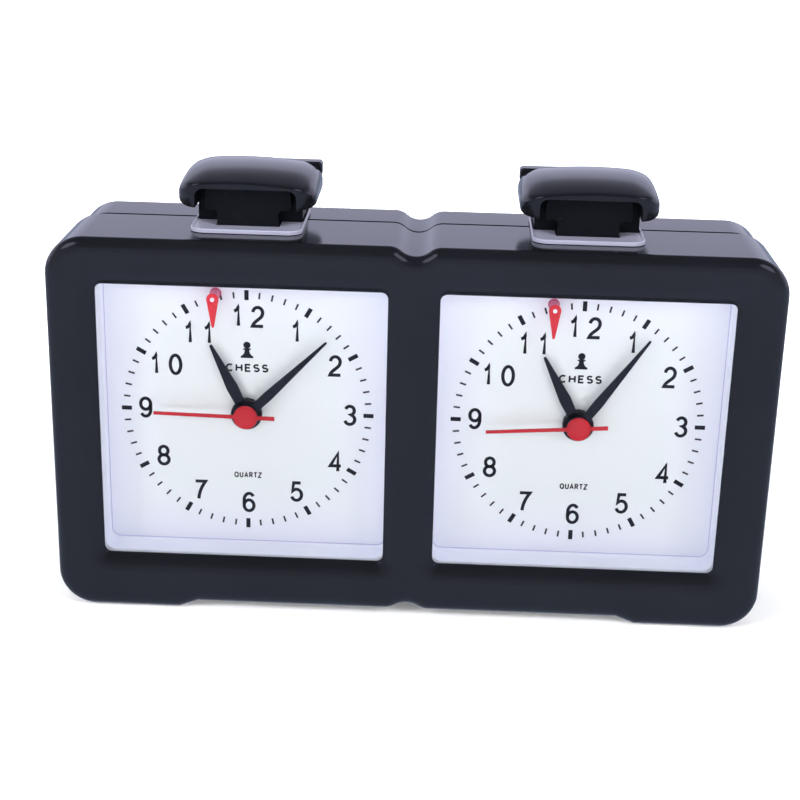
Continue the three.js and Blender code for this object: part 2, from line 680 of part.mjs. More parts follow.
// The pinion has a tooth towards the wheel, and the wheel has a space towards the pinion.
function pinionShape(pair, at, towards, bore) {
  return gearShape(pair.pinion, pair.module, at, towards, bore);
}

function wheelShape(pair, at, towards, bore) {
  return gearShape(pair.wheel, pair.module, at, towards + Math.PI / pair.wheel, bore);
}

const OPPOSITE = Math.PI;
// How far a pinion reaches past the wheel it drives, at each end.
const PINION_OVERHANG = 0.2;

function wheelAt(shape, level) {
  return slab(shape, level, level + WHEEL_THICK, 5);
}

function pinionAt(shape, level) {
  return slab(shape, level - PINION_OVERHANG, level + WHEEL_THICK + PINION_OVERHANG);
}

function rotor() {
  const pinion = pinionAt(pinionShape(PAIRS.rotor, ROTOR_AT, ROTOR_DIRECTION + OPPOSITE), LEVEL.intermediate);
  const arbor = bar(ARBOR_R, ARBOR_FRONT, ARBOR_BACK, ROTOR_AT.x, ROTOR_AT.z, 4);
  return join(pinion, arbor, bar(MAGNET.r, MAGNET.front, MAGNET.back, ROTOR_AT.x, ROTOR_AT.z));
}

function intermediateWheel() {
  const at = INTERMEDIATE_AT;
  const wheel = wheelAt(wheelShape(PAIRS.rotor, at, ROTOR_DIRECTION), LEVEL.intermediate);
  const towards = INTERMEDIATE_DIRECTION + OPPOSITE;
  const shape = pinionShape(PAIRS.intermediate, at, towards);
  const pinion = slab(shape, LEVEL.second - PINION_OVERHANG, LEVEL.intermediate + PINION_OVERHANG);
  return join(wheel, pinion, bar(LAYSHAFT_R, ARBOR_FRONT, ARBOR_BACK, at.x, at.z, 4));
}

function secondWheel() {
  const wheel = wheelAt(wheelShape(PAIRS.intermediate, CENTRE, INTERMEDIATE_DIRECTION), LEVEL.second);
  const shape = pinionShape(PAIRS.second, CENTRE, THIRD_DIRECTION);
  const pinion = slab(shape, LEVEL.third - PINION_OVERHANG, LEVEL.second + PINION_OVERHANG);
  return join(wheel, pinion, bar(ARBOR_R, SECOND_HAND.front, ARBOR_BACK, 0, 0, 4));
}

function thirdWheel() {
  const at = THIRD_AT;
  const towards = THIRD_DIRECTION + OPPOSITE;
  const wheel = wheelAt(wheelShape(PAIRS.second, at, towards), LEVEL.third);
  const shape = pinionShape(PAIRS.third, at, towards);
  const pinion = slab(shape, LEVEL.centre - PINION_OVERHANG, LEVEL.third + PINION_OVERHANG);
  return join(wheel, pinion, bar(LAYSHAFT_R, ARBOR_FRONT, ARBOR_BACK, at.x, at.z, 4));
}

// A ring gripped on the cannon pinion, which slips when the hands are set.
function centreWheel() {
  const shape = wheelShape(PAIRS.third, CENTRE, THIRD_DIRECTION, CANNON.outer + BEARING_GAP);
  return wheelAt(shape, LEVEL.centre);
}

function cannonPinion() {
  const shape = pinionShape(PAIRS.cannon, CENTRE, MOTION_DIRECTION);
  const pinion = slab(shape, LEVEL.motion - PINION_OVERHANG, LEVEL.motion + WHEEL_THICK + PINION_OVERHANG);
  const tube = bar(CANNON.outer, MINUTE_HAND.front, LEVEL.centre + WHEEL_THICK + BEARING_GAP, 0, 0, 5);
  return cut(join(pinion, tube), bar(CANNON.inner, MINUTE_HAND.front - 1, LEVEL.second, 0, 0, 4));
}

function motionWheel() {
  const at = MOTION_AT;
  const towards = MOTION_DIRECTION + OPPOSITE;
  const wheel = wheelAt(wheelShape(PAIRS.cannon, at, towards), LEVEL.motion);
  const shape = pinionShape(PAIRS.motion, at, towards);
  const pinion = slab(shape, LEVEL.hour - PINION_OVERHANG, LEVEL.motion + PINION_OVERHANG);
  const shaft = bar(KNOB_SHAFT_R, ARBOR_FRONT, KNOB.boreEnd - SEAM_GAP, at.x, at.z, 4);
  return join(wheel, pinion, shaft);
}

function hourWheel() {
  const shape = wheelShape(PAIRS.motion, CENTRE, MOTION_DIRECTION);
  const tube = bar(HOUR_TUBE.outer, HOUR_HAND.front, LEVEL.hour + WHEEL_THICK, 0, 0, 5);
  const bore = bar(HOUR_TUBE.inner, HOUR_HAND.front - 1, LEVEL.motion, 0, 0, 5);
  return cut(join(wheelAt(shape, LEVEL.hour), tube), bore);
}

// ---- Movement's cage, motor and knob ----

function cageOutline(inset) {
  const { left, right, low, high } = CAGE;
  return roundedRectangle(left + inset, right - inset, low + inset, high - inset, CAGE_RADIUS);
}

function movementBase() {
  const { front, plate, back, wall } = CAGE;
  const walls = slab(withHoles(cageOutline(0), cageOutline(wall)), front, back, 1);
  const floor = slab(cageOutline(wall / 2), front, front + plate, 1);
  let base = join(walls, floor, bar(NOSE.outer, NOSE.front, front + plate, 0, 0, 6));
  base = cut(base, bar(NOSE.inner, NOSE.front - 1, back, 0, 0, 6));
  for (const [at, r] of BEARINGS) {
    base = cut(base, bar(r + BEARING_GAP, front + OVERLAP, back, at.x, at.z, 4));
  }
  return base;
}

const BEARINGS = [
  [THIRD_AT, LAYSHAFT_R],
  [INTERMEDIATE_AT, LAYSHAFT_R],
  [ROTOR_AT, ARBOR_R],
  [MOTION_AT, KNOB_SHAFT_R],
];

// Slots for the brake pad stand each side of the rotor, so that one lid fits both clocks.
function movementCover() {
  const reach = padDistance();
  const swing = reach - MAGNET.r - BRAKE_PAD.r;
  const near = reach - swing - BRAKE_PAD.r - PAD_SLOT_GAP;
  const far = reach + swing + BRAKE_PAD.r + PAD_SLOT_GAP;
  const tall = BRAKE_PAD.r + PAD_SLOT_GAP;
  let lid = slab(cageOutline(0), LID.front, LID.back, 1);
  for (const side of [-1, 1]) {
    const ends = [ROTOR_AT.x + side * near, ROTOR_AT.x + side * far];
    const [left, right] = [Math.min(...ends), Math.max(...ends)];
    const [low, high] = [ROTOR_AT.z - tall, ROTOR_AT.z + tall];
    const slot = roundedRectangle(left, right, low, high, PAD_SLOT_RADIUS);
    lid = cut(lid, slab(slot, LID.front - 1, LID.back + 1, 1));
  }
  for (const [at, r] of [[CENTRE, ARBOR_R], ...BEARINGS]) {
    lid = cut(lid, bar(r + BEARING_GAP, LID.front - 1, LID.back + 1, at.x, at.z, 4));
  }
  return lid;
}

// A round bar along x.
function crossBar(radius, x0, x1, y, z, segments = 5) {
  const shape = new THREE.Shape();
  shape.absarc(y, z, radius, 0, 2 * Math.PI);
  return crosswise(shape, x0, x1, segments);
}

function motorCoil() {
  const { left, right, low, high, front, back, hole } = STATOR;
  const outline = roundedRectangle(left, right, low, high, STATOR.radius);
  const plate = withHoles(outline, circle(hole, ROTOR_AT.x, ROTOR_AT.z));
  const winding = crossBar(COIL.winding, COIL.left, COIL.right, COIL.y, COIL.z);
  const cheeks = [COIL.left, COIL.right - COIL.cheek].map((x) =>
    crossBar(COIL.r, x, x + COIL.cheek, COIL.y, COIL.z),
  );
  return join(slab(plate, front, back, 3), winding, ...cheeks);
}

function dialNut() {
  const { inner, outer, front, back, flutes, flute } = NUT;
  const nut = slab(flutedCircle(outer, flute, flutes), front, back);
  return cut(nut, bar(inner, front - 1, back + 1));
}

// A circle whose edge waves in and out by depth.
function flutedCircle(radius, depth, flutes) {
  const points = [];
  for (let i = 0; i < 2 * flutes; i++) {
    const angle = (i * Math.PI) / flutes;
    const r = i % 2 ? radius - depth : radius;
    points.push(new THREE.Vector2(r * Math.cos(angle), r * Math.sin(angle)));
  }
  return new THREE.Shape(points);
}

// The knob stands behind its wheel's shaft; a shallow dish leaves a rim to turn it by.
function settingKnob() {
  const { r, front, back, flutes, flute, bore, boreEnd } = KNOB;
  const { rim, depth, gripHalf, gripTop } = KNOB_DISH;
  const dish = bar(r - rim, back - depth, back + 1);
  const grip = box(-r + rim - gripTop, r - rim + gripTop, back - rim, back - gripTop, -gripHalf, gripHalf);
  const knob = cut(slab(flutedCircle(r, flute, flutes), front, back), dish);
  return cut(join(knob, grip), bar(bore, front - 1, boreEnd, 0, 0, 4));
}

// ---- Battery, contacts and door; x counts from the clock's centre ----

function battery() {
  const { r, length, nub, nubLength, edge, nubEdge, y, z } = BATTERY;
  const half = length / 2;
  const can = [
    [0, -half],
    [r - edge, -half],
    [r, -half + edge],
    [r, half - nubLength - edge],
    [r - edge, half - nubLength],
    [nub, half - nubLength],
    [nub, half - nubEdge],
    [nub - nubEdge, half],
    [0, half],
  ].map(([radius, along]) => new THREE.Vector2(radius, along));
  const geometry = new THREE.LatheGeometry(can, 16);
  geometry.rotateZ(-Math.PI / 2);
  geometry.translate(0, y, z);
  return solid(geometry);
}

function contactPlate(x0, x1) {
  const { half } = CONTACT;
  return box(x0, x1, BATTERY.y - half, BATTERY.y + half, BATTERY.z - half, BATTERY.z + half);
}

function contactPositive() {
  const { wallGap, thick, gap } = CONTACT;
  const wall = BAY.half - wallGap;
  const start = BATTERY.length / 2 + gap;
  const dimple = crossBar(CONTACT.dimple, start, wall - thick / 2, BATTERY.y, BATTERY.z, 4);
  return contactPlate(wall - thick, wall).add(dimple);
}

class SpringCurve extends THREE.Curve {
  getPoint(t) {
    const start = -BAY.half + CONTACT.wallGap + CONTACT.thick - 0.1;
    const end = -BATTERY.length / 2 - CONTACT.gap - SPRING.wire;
    const angle = 2 * Math.PI * SPRING.turns * t;
    const r = THREE.MathUtils.lerp(SPRING.outer, SPRING.inner, t);
    const x = THREE.MathUtils.lerp(start, end, t);
    return new THREE.Vector3(x, BATTERY.y + r * Math.cos(angle), BATTERY.z + r * Math.sin(angle));
  }
}

function contactNegative() {
  const wall = -BAY.half + CONTACT.wallGap;
  const wire = new THREE.ExtrudeGeometry(circle(SPRING.wire), {
    steps: 8 * SPRING.turns,
    curveSegments: 3,
    extrudePath: new SpringCurve(),
  });
  return contactPlate(wall, wall + CONTACT.thick).add(solid(wire));
}

function batteryDoor() {
  const { gap, front, back, radius } = DOOR;
  const { count, pitch, rise, margin } = DOOR_RIB;
  const half = BAY.half - gap;
  let door = slab(roundedRectangle(-half, half, BAY.low + gap, BAY.high - gap, radius), front, back, 2);
  const [low, high] = [BAY.low + margin, BAY.high - margin];
  for (let i = 0; i < count; i++) {
    const x = half - margin - pitch * i;
    door = door.add(box(x - DOOR_RIB.half, x + DOOR_RIB.half, back - OVERLAP, back + rise, low, high));
  }
  return door;
}

// ---- Assembly ----

function place(made, x, y, z) {
  made.position.set(x, y, z);
  return made;
}

// A hand in its own group, turned clockwise from twelve.
function turnedHand(made, degrees) {
  const group = new THREE.Group();
  group.rotation.y = THREE.MathUtils.degToRad(degrees);
  group.add(made);
  return group;
}

function addHands(group, name) {
  const shown = SHOWN[name];
  group.add(turnedHand(piece(`hour_hand_${name}`, hand(HOUR_HAND), MATERIAL.handBlack), shown.hour));
  group.add(turnedHand(piece(`minute_hand_${name}`, hand(MINUTE_HAND), MATERIAL.handBlack), shown.minute));
  group.add(turnedHand(piece(`second_hand_${name}`, secondHand(), MATERIAL.red), shown.second));
}

function addTrain(group, name) {
  group.add(piece(`rotor_${name}`, rotor(), MATERIAL.magnet));
  group.add(piece(`intermediate_wheel_${name}`, intermediateWheel(), MATERIAL.plasticPale));
  group.add(piece(`second_wheel_${name}`, secondWheel(), MATERIAL.plasticPale));
  group.add(piece(`third_wheel_${name}`, thirdWheel(), MATERIAL.plasticPale));
  group.add(piece(`centre_wheel_${name}`, centreWheel(), MATERIAL.brass));
  group.add(piece(`cannon_pinion_${name}`, cannonPinion(), MATERIAL.brass));
  group.add(piece(`motion_wheel_${name}`, motionWheel(), MATERIAL.plasticPale));
  group.add(piece(`hour_wheel_${name}`, hourWheel(), MATERIAL.plasticPale));
}

// Everything that is counted from the dial's centre.
function clockFace(name) {
  const group = new THREE.Group();
  group.add(piece(`lens_${name}`, lens(), MATERIAL.clear));
  group.add(piece(`dial_surround_${name}`, dialSurround(), MATERIAL.white));
  group.add(piece(`dial_${name}`, dial(), MATERIAL.white));
  group.add(piece(`flag_${name}`, flag(), MATERIAL.red));
  group.add(piece(`dial_nut_${name}`, dialNut(), MATERIAL.brass));
  group.add(piece(`movement_base_${name}`, movementBase(), MATERIAL.plasticGrey));
  group.add(piece(`movement_cover_${name}`, movementCover(), MATERIAL.plasticGrey));
  group.add(piece(`motor_coil_${name}`, motorCoil(), MATERIAL.copper));
  const knob = piece(`setting_knob_${name}`, settingKnob(), MATERIAL.glossBlack);
  group.add(place(knob, MOTION_AT.x, 0, MOTION_AT.z));
  addHands(group, name);
  addTrain(group, name);
  return group;
}

function batteryParts(name) {
  const group = new THREE.Group();
  group.add(piece(`battery_${name}`, battery(), MATERIAL.batteryJacket));
  group.add(piece(`contact_positive_${name}`, contactPositive(), MATERIAL.steel));
  group.add(piece(`contact_negative_${name}`, contactNegative(), MATERIAL.steel));
  group.add(piece(`battery_door_${name}`, batteryDoor(), MATERIAL.caseBlack));
  return group;
}

function addSide(clock, name, side) {
  clock.add(place(clockFace(name), side * CLOCK_X, 0, DIAL_Z));
  clock.add(place(batteryParts(name), side * CLOCK_X, 0, 0));
  clock.add(place(piece(`button_${name}`, button(side), MATERIAL.glossBlack), side * BUTTON_X, 0, 0));
  const collar = piece(`button_collar_${name}`, buttonCollar(), MATERIAL.collarGrey);
  clock.add(place(collar, side * BUTTON_X, 0, 0));
  clock.add(piece(`stop_lever_${name}`, stopLever(side), MATERIAL.steel));
  clock.add(place(piece(`case_screw_${name}`, caseScrew(), MATERIAL.steel), side * SCREW.x, 0, SCREW.z));
}

const clock = new THREE.Group();
clock.position.y = -DEPTH_MIDDLE;
clock.add(piece("front_case", frontCase(), MATERIAL.caseBlack));
clock.add(piece("rear_case", rearCase(), MATERIAL.caseBlack));
clock.add(piece("rocker_lever", rockerLever(), MATERIAL.plasticPale));
const rockerPin = bar(ROCKER_PIN.r, ROCKER_PIN.front, ROCKER_PIN.back, 0, PIVOT_Z, 9);
clock.add(piece("rocker_pin", rockerPin, MATERIAL.steel));
addSide(clock, "left", -1);
addSide(clock, "right", 1);

export default clock;
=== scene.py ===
import json
import math

import bmesh
import bpy
from mathutils import Matrix, Vector
from mathutils.geometry import delaunay_2d_cdt

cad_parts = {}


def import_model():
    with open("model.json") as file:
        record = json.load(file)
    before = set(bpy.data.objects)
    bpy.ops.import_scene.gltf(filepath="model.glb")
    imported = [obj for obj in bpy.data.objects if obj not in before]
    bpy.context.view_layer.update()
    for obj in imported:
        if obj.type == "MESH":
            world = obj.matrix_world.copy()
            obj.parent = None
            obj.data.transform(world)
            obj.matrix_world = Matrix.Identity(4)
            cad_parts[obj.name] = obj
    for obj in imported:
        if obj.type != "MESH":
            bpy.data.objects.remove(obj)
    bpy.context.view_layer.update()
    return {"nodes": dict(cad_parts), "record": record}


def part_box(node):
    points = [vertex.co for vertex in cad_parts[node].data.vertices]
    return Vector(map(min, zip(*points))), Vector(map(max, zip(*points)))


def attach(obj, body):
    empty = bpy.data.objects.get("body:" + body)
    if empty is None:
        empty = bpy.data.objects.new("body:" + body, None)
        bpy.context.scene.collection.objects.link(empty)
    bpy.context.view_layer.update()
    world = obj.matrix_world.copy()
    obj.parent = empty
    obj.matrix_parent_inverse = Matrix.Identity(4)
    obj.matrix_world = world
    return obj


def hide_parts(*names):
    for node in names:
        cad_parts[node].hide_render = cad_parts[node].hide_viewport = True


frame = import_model()

# ---- The clock's own measures: millimetres, y = 0 at the front of the dials, z = 0 on the table ----
MM = 0.001
CASE_FRONT = -14
CASE_LOW, CASE_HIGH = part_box("front_case")
DEPTH_SHIFT = CASE_LOW.y / MM - CASE_FRONT
CASE_HALF = CASE_HIGH.x / MM
CASE_TOP = CASE_HIGH.z / MM
SEAM = CASE_HIGH.y / MM - DEPTH_SHIFT
CASE_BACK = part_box("rear_case")[1].y / MM - DEPTH_SHIFT
CORNER_RADIUS = 10
FRONT_EDGE = 3.6
BACK_EDGE = 2
FRONT_THICK = 3.4
BACK_THICK = 2.4
WALL = 2.6
BACK_WALL = 2
BACK_INSET = 0.2
BACK_NARROW = 0.988
SEAM_GAP = 1.4
FOOT_DROP = 1.9
FOOT_START = 62
FOOT_RAMP = 5
TOP_NOTCH = (6.8, 2.5)
UNDER_NOTCH = (6.0, 1.7)
WINDOW_HALF = 37.8
WINDOW_RADIUS = 1.8
SIDES = {"left": -1, "right": 1}


def centre(node):
    low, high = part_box(node)
    return (low.x + high.x) / 2 / MM, (low.z + high.z) / 2 / MM


DIAL_AT = {name: centre(f"dial_{name}") for name in SIDES}
KNOB_AT = {name: centre(f"setting_knob_{name}") for name in SIDES}
BUTTON_X = {name: centre(f"button_collar_{name}")[0] for name in SIDES}
SCREW_AT = {name: centre(f"case_screw_{name}") for name in SIDES}


def point(x, y, z):
    return Vector((x, y + DEPTH_SHIFT, z)) * MM


# ---- Outlines in two dimensions, counter-clockwise ----

def arc(cx, cy, rx, start, end, steps, ry=None):
    """Points of an arc, in degrees, both ends included."""
    ry = rx if ry is None else ry
    angles = [math.radians(start + (end - start) * i / steps) for i in range(steps + 1)]
    return [(cx + rx * math.cos(a), cy + ry * math.sin(a)) for a in angles]


def rounded_box(x0, x1, y0, y1, radius, steps=8):
    r = radius
    return (
        arc(x1 - r, y0 + r, r, -90, 0, steps)
        + arc(x1 - r, y1 - r, r, 0, 90, steps)
        + arc(x0 + r, y1 - r, r, 90, 180, steps)
        + arc(x0 + r, y0 + r, r, 180, 270, steps)
    )


def upper_corners(x, half, top, radius, steps=8):
    """The two rounded upper corners of an outline centred on x."""
    right = arc(x + half - radius, top - radius, radius, 0, 90, steps)
    return right + arc(x - half + radius, top - radius, radius, 90, 180, steps)


def square(half, radius, at=(0, 0), steps=8):
    return rounded_box(at[0] - half, at[0] + half, at[1] - half, at[1] + half, radius, steps)


def circle(radius, at=(0, 0), steps=48):
    return arc(at[0], at[1], radius, 0, 360, steps)[:-1]


def mitre(first, second, least):
    """The step inwards, for a distance of 1, at a corner between two directions."""
    across = Vector((-first.y, first.x))
    normal = across + Vector((-second.y, second.x))
    normal = normal.normalized() if normal.length > 1e-9 else across
    return normal / max(least, normal.dot(across))


def inset(outline, distance):
    """The outline moved inwards, each point along the mean of its two edges' normals."""
    count = len(outline)
    moved = []
    for i, (x, y) in enumerate(outline):
        before = Vector(outline[i - 1])
        here = Vector((x, y))
        after = Vector(outline[(i + 1) % count])
        step = mitre((here - before).normalized(), (after - here).normalized(), 0.3) * distance
        moved.append((x + step.x, y + step.y))
    return moved


def notch_arcs(half, depth, top):
    """An S-shaped dip from x = half to x = -half: centre, radius and angles of its three arcs."""
    turn = 2 * math.atan2(depth, half)
    both = half / math.sin(turn)
    shoulder = both / 2
    valley = both - shoulder
    degrees = math.degrees(turn)
    return [
        ((half, top - shoulder), shoulder, 90, 90 + degrees, 1),
        ((0, top - depth + valley), valley, -90 + degrees, -90 - degrees, -1),
        ((-half, top - shoulder), shoulder, 90 - degrees, 90, 1),
    ]


def case_outline(gap):
    """The case from the front, moved inwards by gap all round; always the same number of points."""
    side = CASE_HALF
    r = CORNER_RADIUS
    points = []

    def corner(cx, cz, start):
        points.extend(arc(cx, cz, r - gap, start, start + 90, 12))

    def dip(half, depth, level, flip):
        for (cx, cz), radius, start, end, bulge in notch_arcs(half, depth, 0):
            for x, z in arc(cx, cz, radius - bulge * gap, start, end, 8):
                points.append((x * flip, level + z * flip))

    corner(-side + r, r, 180)
    points.append((-FOOT_START, gap))
    points.append((-FOOT_START + FOOT_RAMP, FOOT_DROP + gap))
    dip(UNDER_NOTCH[0], UNDER_NOTCH[1], FOOT_DROP, -1)
    points.append((FOOT_START - FOOT_RAMP, FOOT_DROP + gap))
    points.append((FOOT_START, gap))
    corner(side - r, r, 270)
    corner(side - r, CASE_TOP - r, 0)
    dip(TOP_NOTCH[0], TOP_NOTCH[1], CASE_TOP, 1)
    corner(-side + r, CASE_TOP - r, 90)
    return points


# ---- Meshes ----

SAME_PLACE = 1e-7
NORMAL_WEIGHT = 60


def add_object(name, data):
    obj = bpy.data.objects.new(name, data)
    bpy.context.scene.collection.objects.link(obj)
    return obj


def holds(polygon, place):
    """Whether a flat polygon holds a point."""
    inside = False
    before = polygon[-1]
    for here in polygon:
        if (here.y > place.y) != (before.y > place.y):
            if place.x < here.x + (before.x - here.x) * (place.y - here.y) / (before.y - here.y):
                inside = not inside
        before = here
    return inside


class Builder:
    """Rings of points joined into a closed mesh."""

    def __init__(self):
        self.bm = bmesh.new()

    def ring(self, points):
        return [self.bm.verts.new(point(*p)) for p in points]

    def face_ring(self, outline, y):
        """A ring whose outline lies in x and z."""
        return self.ring([(x, y, z) for x, z in outline])

    def plan_ring(self, outline, z):
        """A ring whose outline lies in x and y."""
        return self.ring([(x, y, z) for x, y in outline])

    def bridge(self, *rings):
        for one, other in zip(rings, rings[1:]):
            count = len(one)
            for i in range(count):
                j = (i + 1) % count
                self.bm.faces.new((one[i], one[j], other[j], other[i]))

    def cap(self, ring):
        self.bm.faces.new(ring)

    def fill(self, *loops):
        """A flat face bounded by the first loop, with the other loops as holes in it."""
        verts = [vert for loop in loops for vert in loop]
        spans = [max(v.co[k] for v in verts) - min(v.co[k] for v in verts) for k in range(3)]
        across, up = sorted(range(3), key=lambda k: -spans[k])[:2]
        flat = [Vector((v.co[across], v.co[up])) / MM for v in verts]
        edges, polygons, start = [], [], 0
        for loop in loops:
            count = len(loop)
            edges += [(start + i, start + (i + 1) % count) for i in range(count)]
            polygons.append(flat[start:start + count])
            start += count
        places, _, faces, origins, _, _ = delaunay_2d_cdt(flat, edges, [], 1, 1e-3)
        for face in faces:
            middle = sum((places[i] for i in face), Vector((0, 0))) / len(face)
            if any(holds(hole, middle) for hole in polygons[1:]) or not holds(polygons[0], middle):
                continue
            corners = [verts[origins[i][0]] for i in face]
            if len(set(corners)) == len(corners):
                self.bm.faces.new(corners)

    def fan(self, ring, middle):
        top = self.bm.verts.new(point(*middle))
        for i, vert in enumerate(ring):
            self.bm.faces.new((vert, ring[(i + 1) % len(ring)], top))

    def plain(self, name):
        """An object with the finished mesh, its normals outwards; the builder is used up."""
        bmesh.ops.recalc_face_normals(self.bm, faces=self.bm.faces)
        mesh = bpy.data.meshes.new(name)
        self.bm.to_mesh(mesh)
        self.bm.free()
        return add_object(name, mesh)

    def finish(self, name, look, body, replaces=(), sharp=35, weighted=True):
        """A visible piece, with its shading, its material and the body that it rides on."""
        bmesh.ops.remove_doubles(self.bm, verts=self.bm.verts, dist=SAME_PLACE)
        obj = self.plain(name)
        soften(obj, sharp, weighted)
        obj.data.materials.append(MATERIAL[look])
        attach(obj, body)
        if replaces:
            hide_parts(*replaces)
        return obj


def soften(obj, sharp, weighted):
    """Smooth shading that breaks at edges of more than so many degrees."""
    obj.data.shade_smooth()
    obj.data.set_sharp_from_angle(angle=math.radians(sharp))
    if weighted:
        modifier = obj.modifiers.new("weighted", "WEIGHTED_NORMAL")
        modifier.keep_sharp = True
        modifier.weight = NORMAL_WEIGHT


def carve(obj, tools, sharp=35, weighted=True):
    """Cut the tools out of obj and remove them."""
    obj.modifiers.clear()
    for i, tool in enumerate(tools):
        modifier = obj.modifiers.new(f"cut{i}", "BOOLEAN")
        modifier.operation = "DIFFERENCE"
        modifier.solver = "EXACT"
        modifier.object = tool
    bpy.context.view_layer.update()
    graph = bpy.context.evaluated_depsgraph_get()
    mesh = bpy.data.meshes.new_from_object(obj.evaluated_get(graph))
    obj.modifiers.clear()
    old = obj.data
    obj.data = mesh
    mesh.name = obj.name
    bpy.data.meshes.remove(old)
    for tool in tools:
        bpy.data.objects.remove(tool)
    soften(obj, sharp, weighted)


def tool_prism(outline, start, end, along="plan"):
    """A closed solid for cutting with: the outline, from level start to level end."""
    builder = Builder()
    make = builder.plan_ring if along == "plan" else builder.face_ring
    rings = [make(outline, level) for level in (start, end)]
    builder.bridge(*rings)
    for ring in rings:
        builder.fill(ring)
    return builder.plain("tool")


def edge_profile(level, radius, towards, steps=4):
    """(level, inset) pairs of a rounded edge that ends on the face at level; towards is its outward sign."""
    turns = [math.pi / 2 * i / steps for i in range(steps + 1)]
    return [(level - towards * radius * (1 - math.sin(a)), radius * (1 - math.cos(a))) for a in turns]


def slab(name, outline, y_back, y_front, bevel, look, body, holes=(), **options):
    """A plate in x and z with rounded edges; towards the viewer is smaller y."""
    builder = Builder()
    profile = edge_profile(y_back, bevel, 1)[::-1] + edge_profile(y_front, bevel, -1)
    rings = [builder.face_ring(inset(outline, d), y) for y, d in profile]
    builder.bridge(*rings)
    backs, fronts = [rings[0]], [rings[-1]]
    for hole in holes:
        back, front = builder.face_ring(hole, y_back), builder.face_ring(hole, y_front)
        builder.bridge(back, front)
        backs.append(back)
        fronts.append(front)
    builder.fill(*backs)
    builder.fill(*fronts)
    return builder.finish(name, look, body, **options)


def lathe(name, profile, at, look, body, steps=48, **options):
    """(radius, y) pairs turned about a line along y."""
    builder = Builder()
    rings = [builder.face_ring(circle(radius, at, steps), y) for radius, y in profile if radius > 0]
    builder.bridge(*rings)
    for (radius, y), ring in ((profile[0], rings[0]), (profile[-1], rings[-1])):
        if radius > 0:
            builder.cap(ring)
        else:
            builder.fan(ring, (at[0], y, at[1]))
    return builder.finish(name, look, body, **options)


# ---- Materials ----

MATERIAL = {}  # every material of the look, by name
# Tint of the glow that is painted light on plastics and on the dials
PAINTED_GLOW_TINT = (0.78, 0.82, 1.0, 1)
CLOUD_SCALE, SMEAR_SCALE = 35, 90  # noise in colour and in gloss, in waves per metre
CARD_SCALE = 5200
GRAIN_DEPTH, MARK_DEPTH = 0.00005, 0.00002


class Nodes:
    """A node tree put together step by step."""

    def __init__(self, tree, coordinates):
        self.tree = tree
        self.place = self.node("ShaderNodeTexCoord").outputs[coordinates]

    def feed(self, node, socket, value):
        """Link an output to one of a node's sockets, or give the socket a fixed value."""
        if isinstance(value, bpy.types.NodeSocket):
            self.tree.links.new(value, node.inputs[socket])
        else:
            node.inputs[socket].default_value = value

    def node(self, kind, *feeds, **settings):
        """A new node; feeds go to its first sockets in order."""
        made = self.tree.nodes.new(kind)
        for key, value in settings.items():
            if key in made.inputs:
                made.inputs[key].default_value = value
            else:
                setattr(made, key, value)
        for i, value in enumerate(feeds):
            self.feed(made, i, value)
        return made

    def noise(self, scale, detail=3, stretch=None):
        place = self.place
        if stretch:
            place = self.node("ShaderNodeMapping", place, Scale=stretch).outputs[0]
        return self.node("ShaderNodeTexNoise", place, Scale=scale, Detail=detail).outputs["Fac"]

    def between(self, value, low, high, start=0.3, end=0.7, **settings):
        """Low to high as value goes from start to end."""
        return self.node("ShaderNodeMapRange", value, start, end, low, high, **settings).outputs["Result"]

    def mix(self, value, first, second):
        made = self.node("ShaderNodeMix", value, data_type="RGBA")
        colors = [socket for socket in made.inputs if socket.type == "RGBA"]
        for socket, color in zip(colors, (first, second)):
            socket.default_value = (*color, 1)
        return [output for output in made.outputs if output.type == "RGBA"][0]

    def math(self, operation, *feeds):
        return self.node("ShaderNodeMath", *feeds, operation=operation).outputs[0]

    def vector(self, operation, *feeds):
        made = self.node("ShaderNodeVectorMath", *feeds, operation=operation)
        return made.outputs["Value" if operation in ("LENGTH", "DOT_PRODUCT") else "Vector"]

    def blend(self, share, first, second):
        """The second shader in so large a share, over the first."""
        return self.node("ShaderNodeMixShader", share, first, second).outputs[0]


class Look(Nodes):
    """A material with the principled shader, kept in MATERIAL."""

    def __init__(self, name):
        self.material = MATERIAL[name] = bpy.data.materials.new(name)
        self.material.use_nodes = True
        super().__init__(self.material.node_tree, "Object")
        self.shader = self.tree.nodes["Principled BSDF"]

    def wear(self, values):
        """Feed the principled shader's sockets."""
        for socket, value in values.items():
            self.feed(self.shader, socket, value)

    def bump(self, height, strength, distance):
        made = self.node("ShaderNodeBump", Strength=strength, Distance=distance)
        self.feed(made, "Height", height)
        self.wear({"Normal": made.outputs["Normal"]})

    def show(self, shader):
        """Send another shader to the material's output."""
        self.feed(self.tree.nodes["Material Output"], "Surface", shader)


def shade(color, factor):
    return tuple(c * factor for c in color)


def plastic(
    name, color, roughness, grain=0.0, grain_scale=2600, specular=0.5, spread=0.12, coat=0.0, painted_glow=0.0
):
    """Moulded plastic: slight mottling in colour and gloss, a fine grain, and a glow that is painted light.
    """
    look = Look(name)
    cloud = look.between(look.noise(CLOUD_SCALE, 4), 0, 1)
    look.wear({
        "Base Color": look.mix(cloud, shade(color, 1 - spread), shade(color, 1 + spread)),
        "Roughness": look.between(look.noise(SMEAR_SCALE, 5), roughness * 0.88, roughness * 1.12),
        "Specular IOR Level": specular,
        "Coat Weight": coat,
        "Coat Roughness": 0.08,
        "Emission Color": PAINTED_GLOW_TINT,
        "Emission Strength": painted_glow,
    })
    if grain:
        look.bump(look.noise(grain_scale, 2), grain, GRAIN_DEPTH)


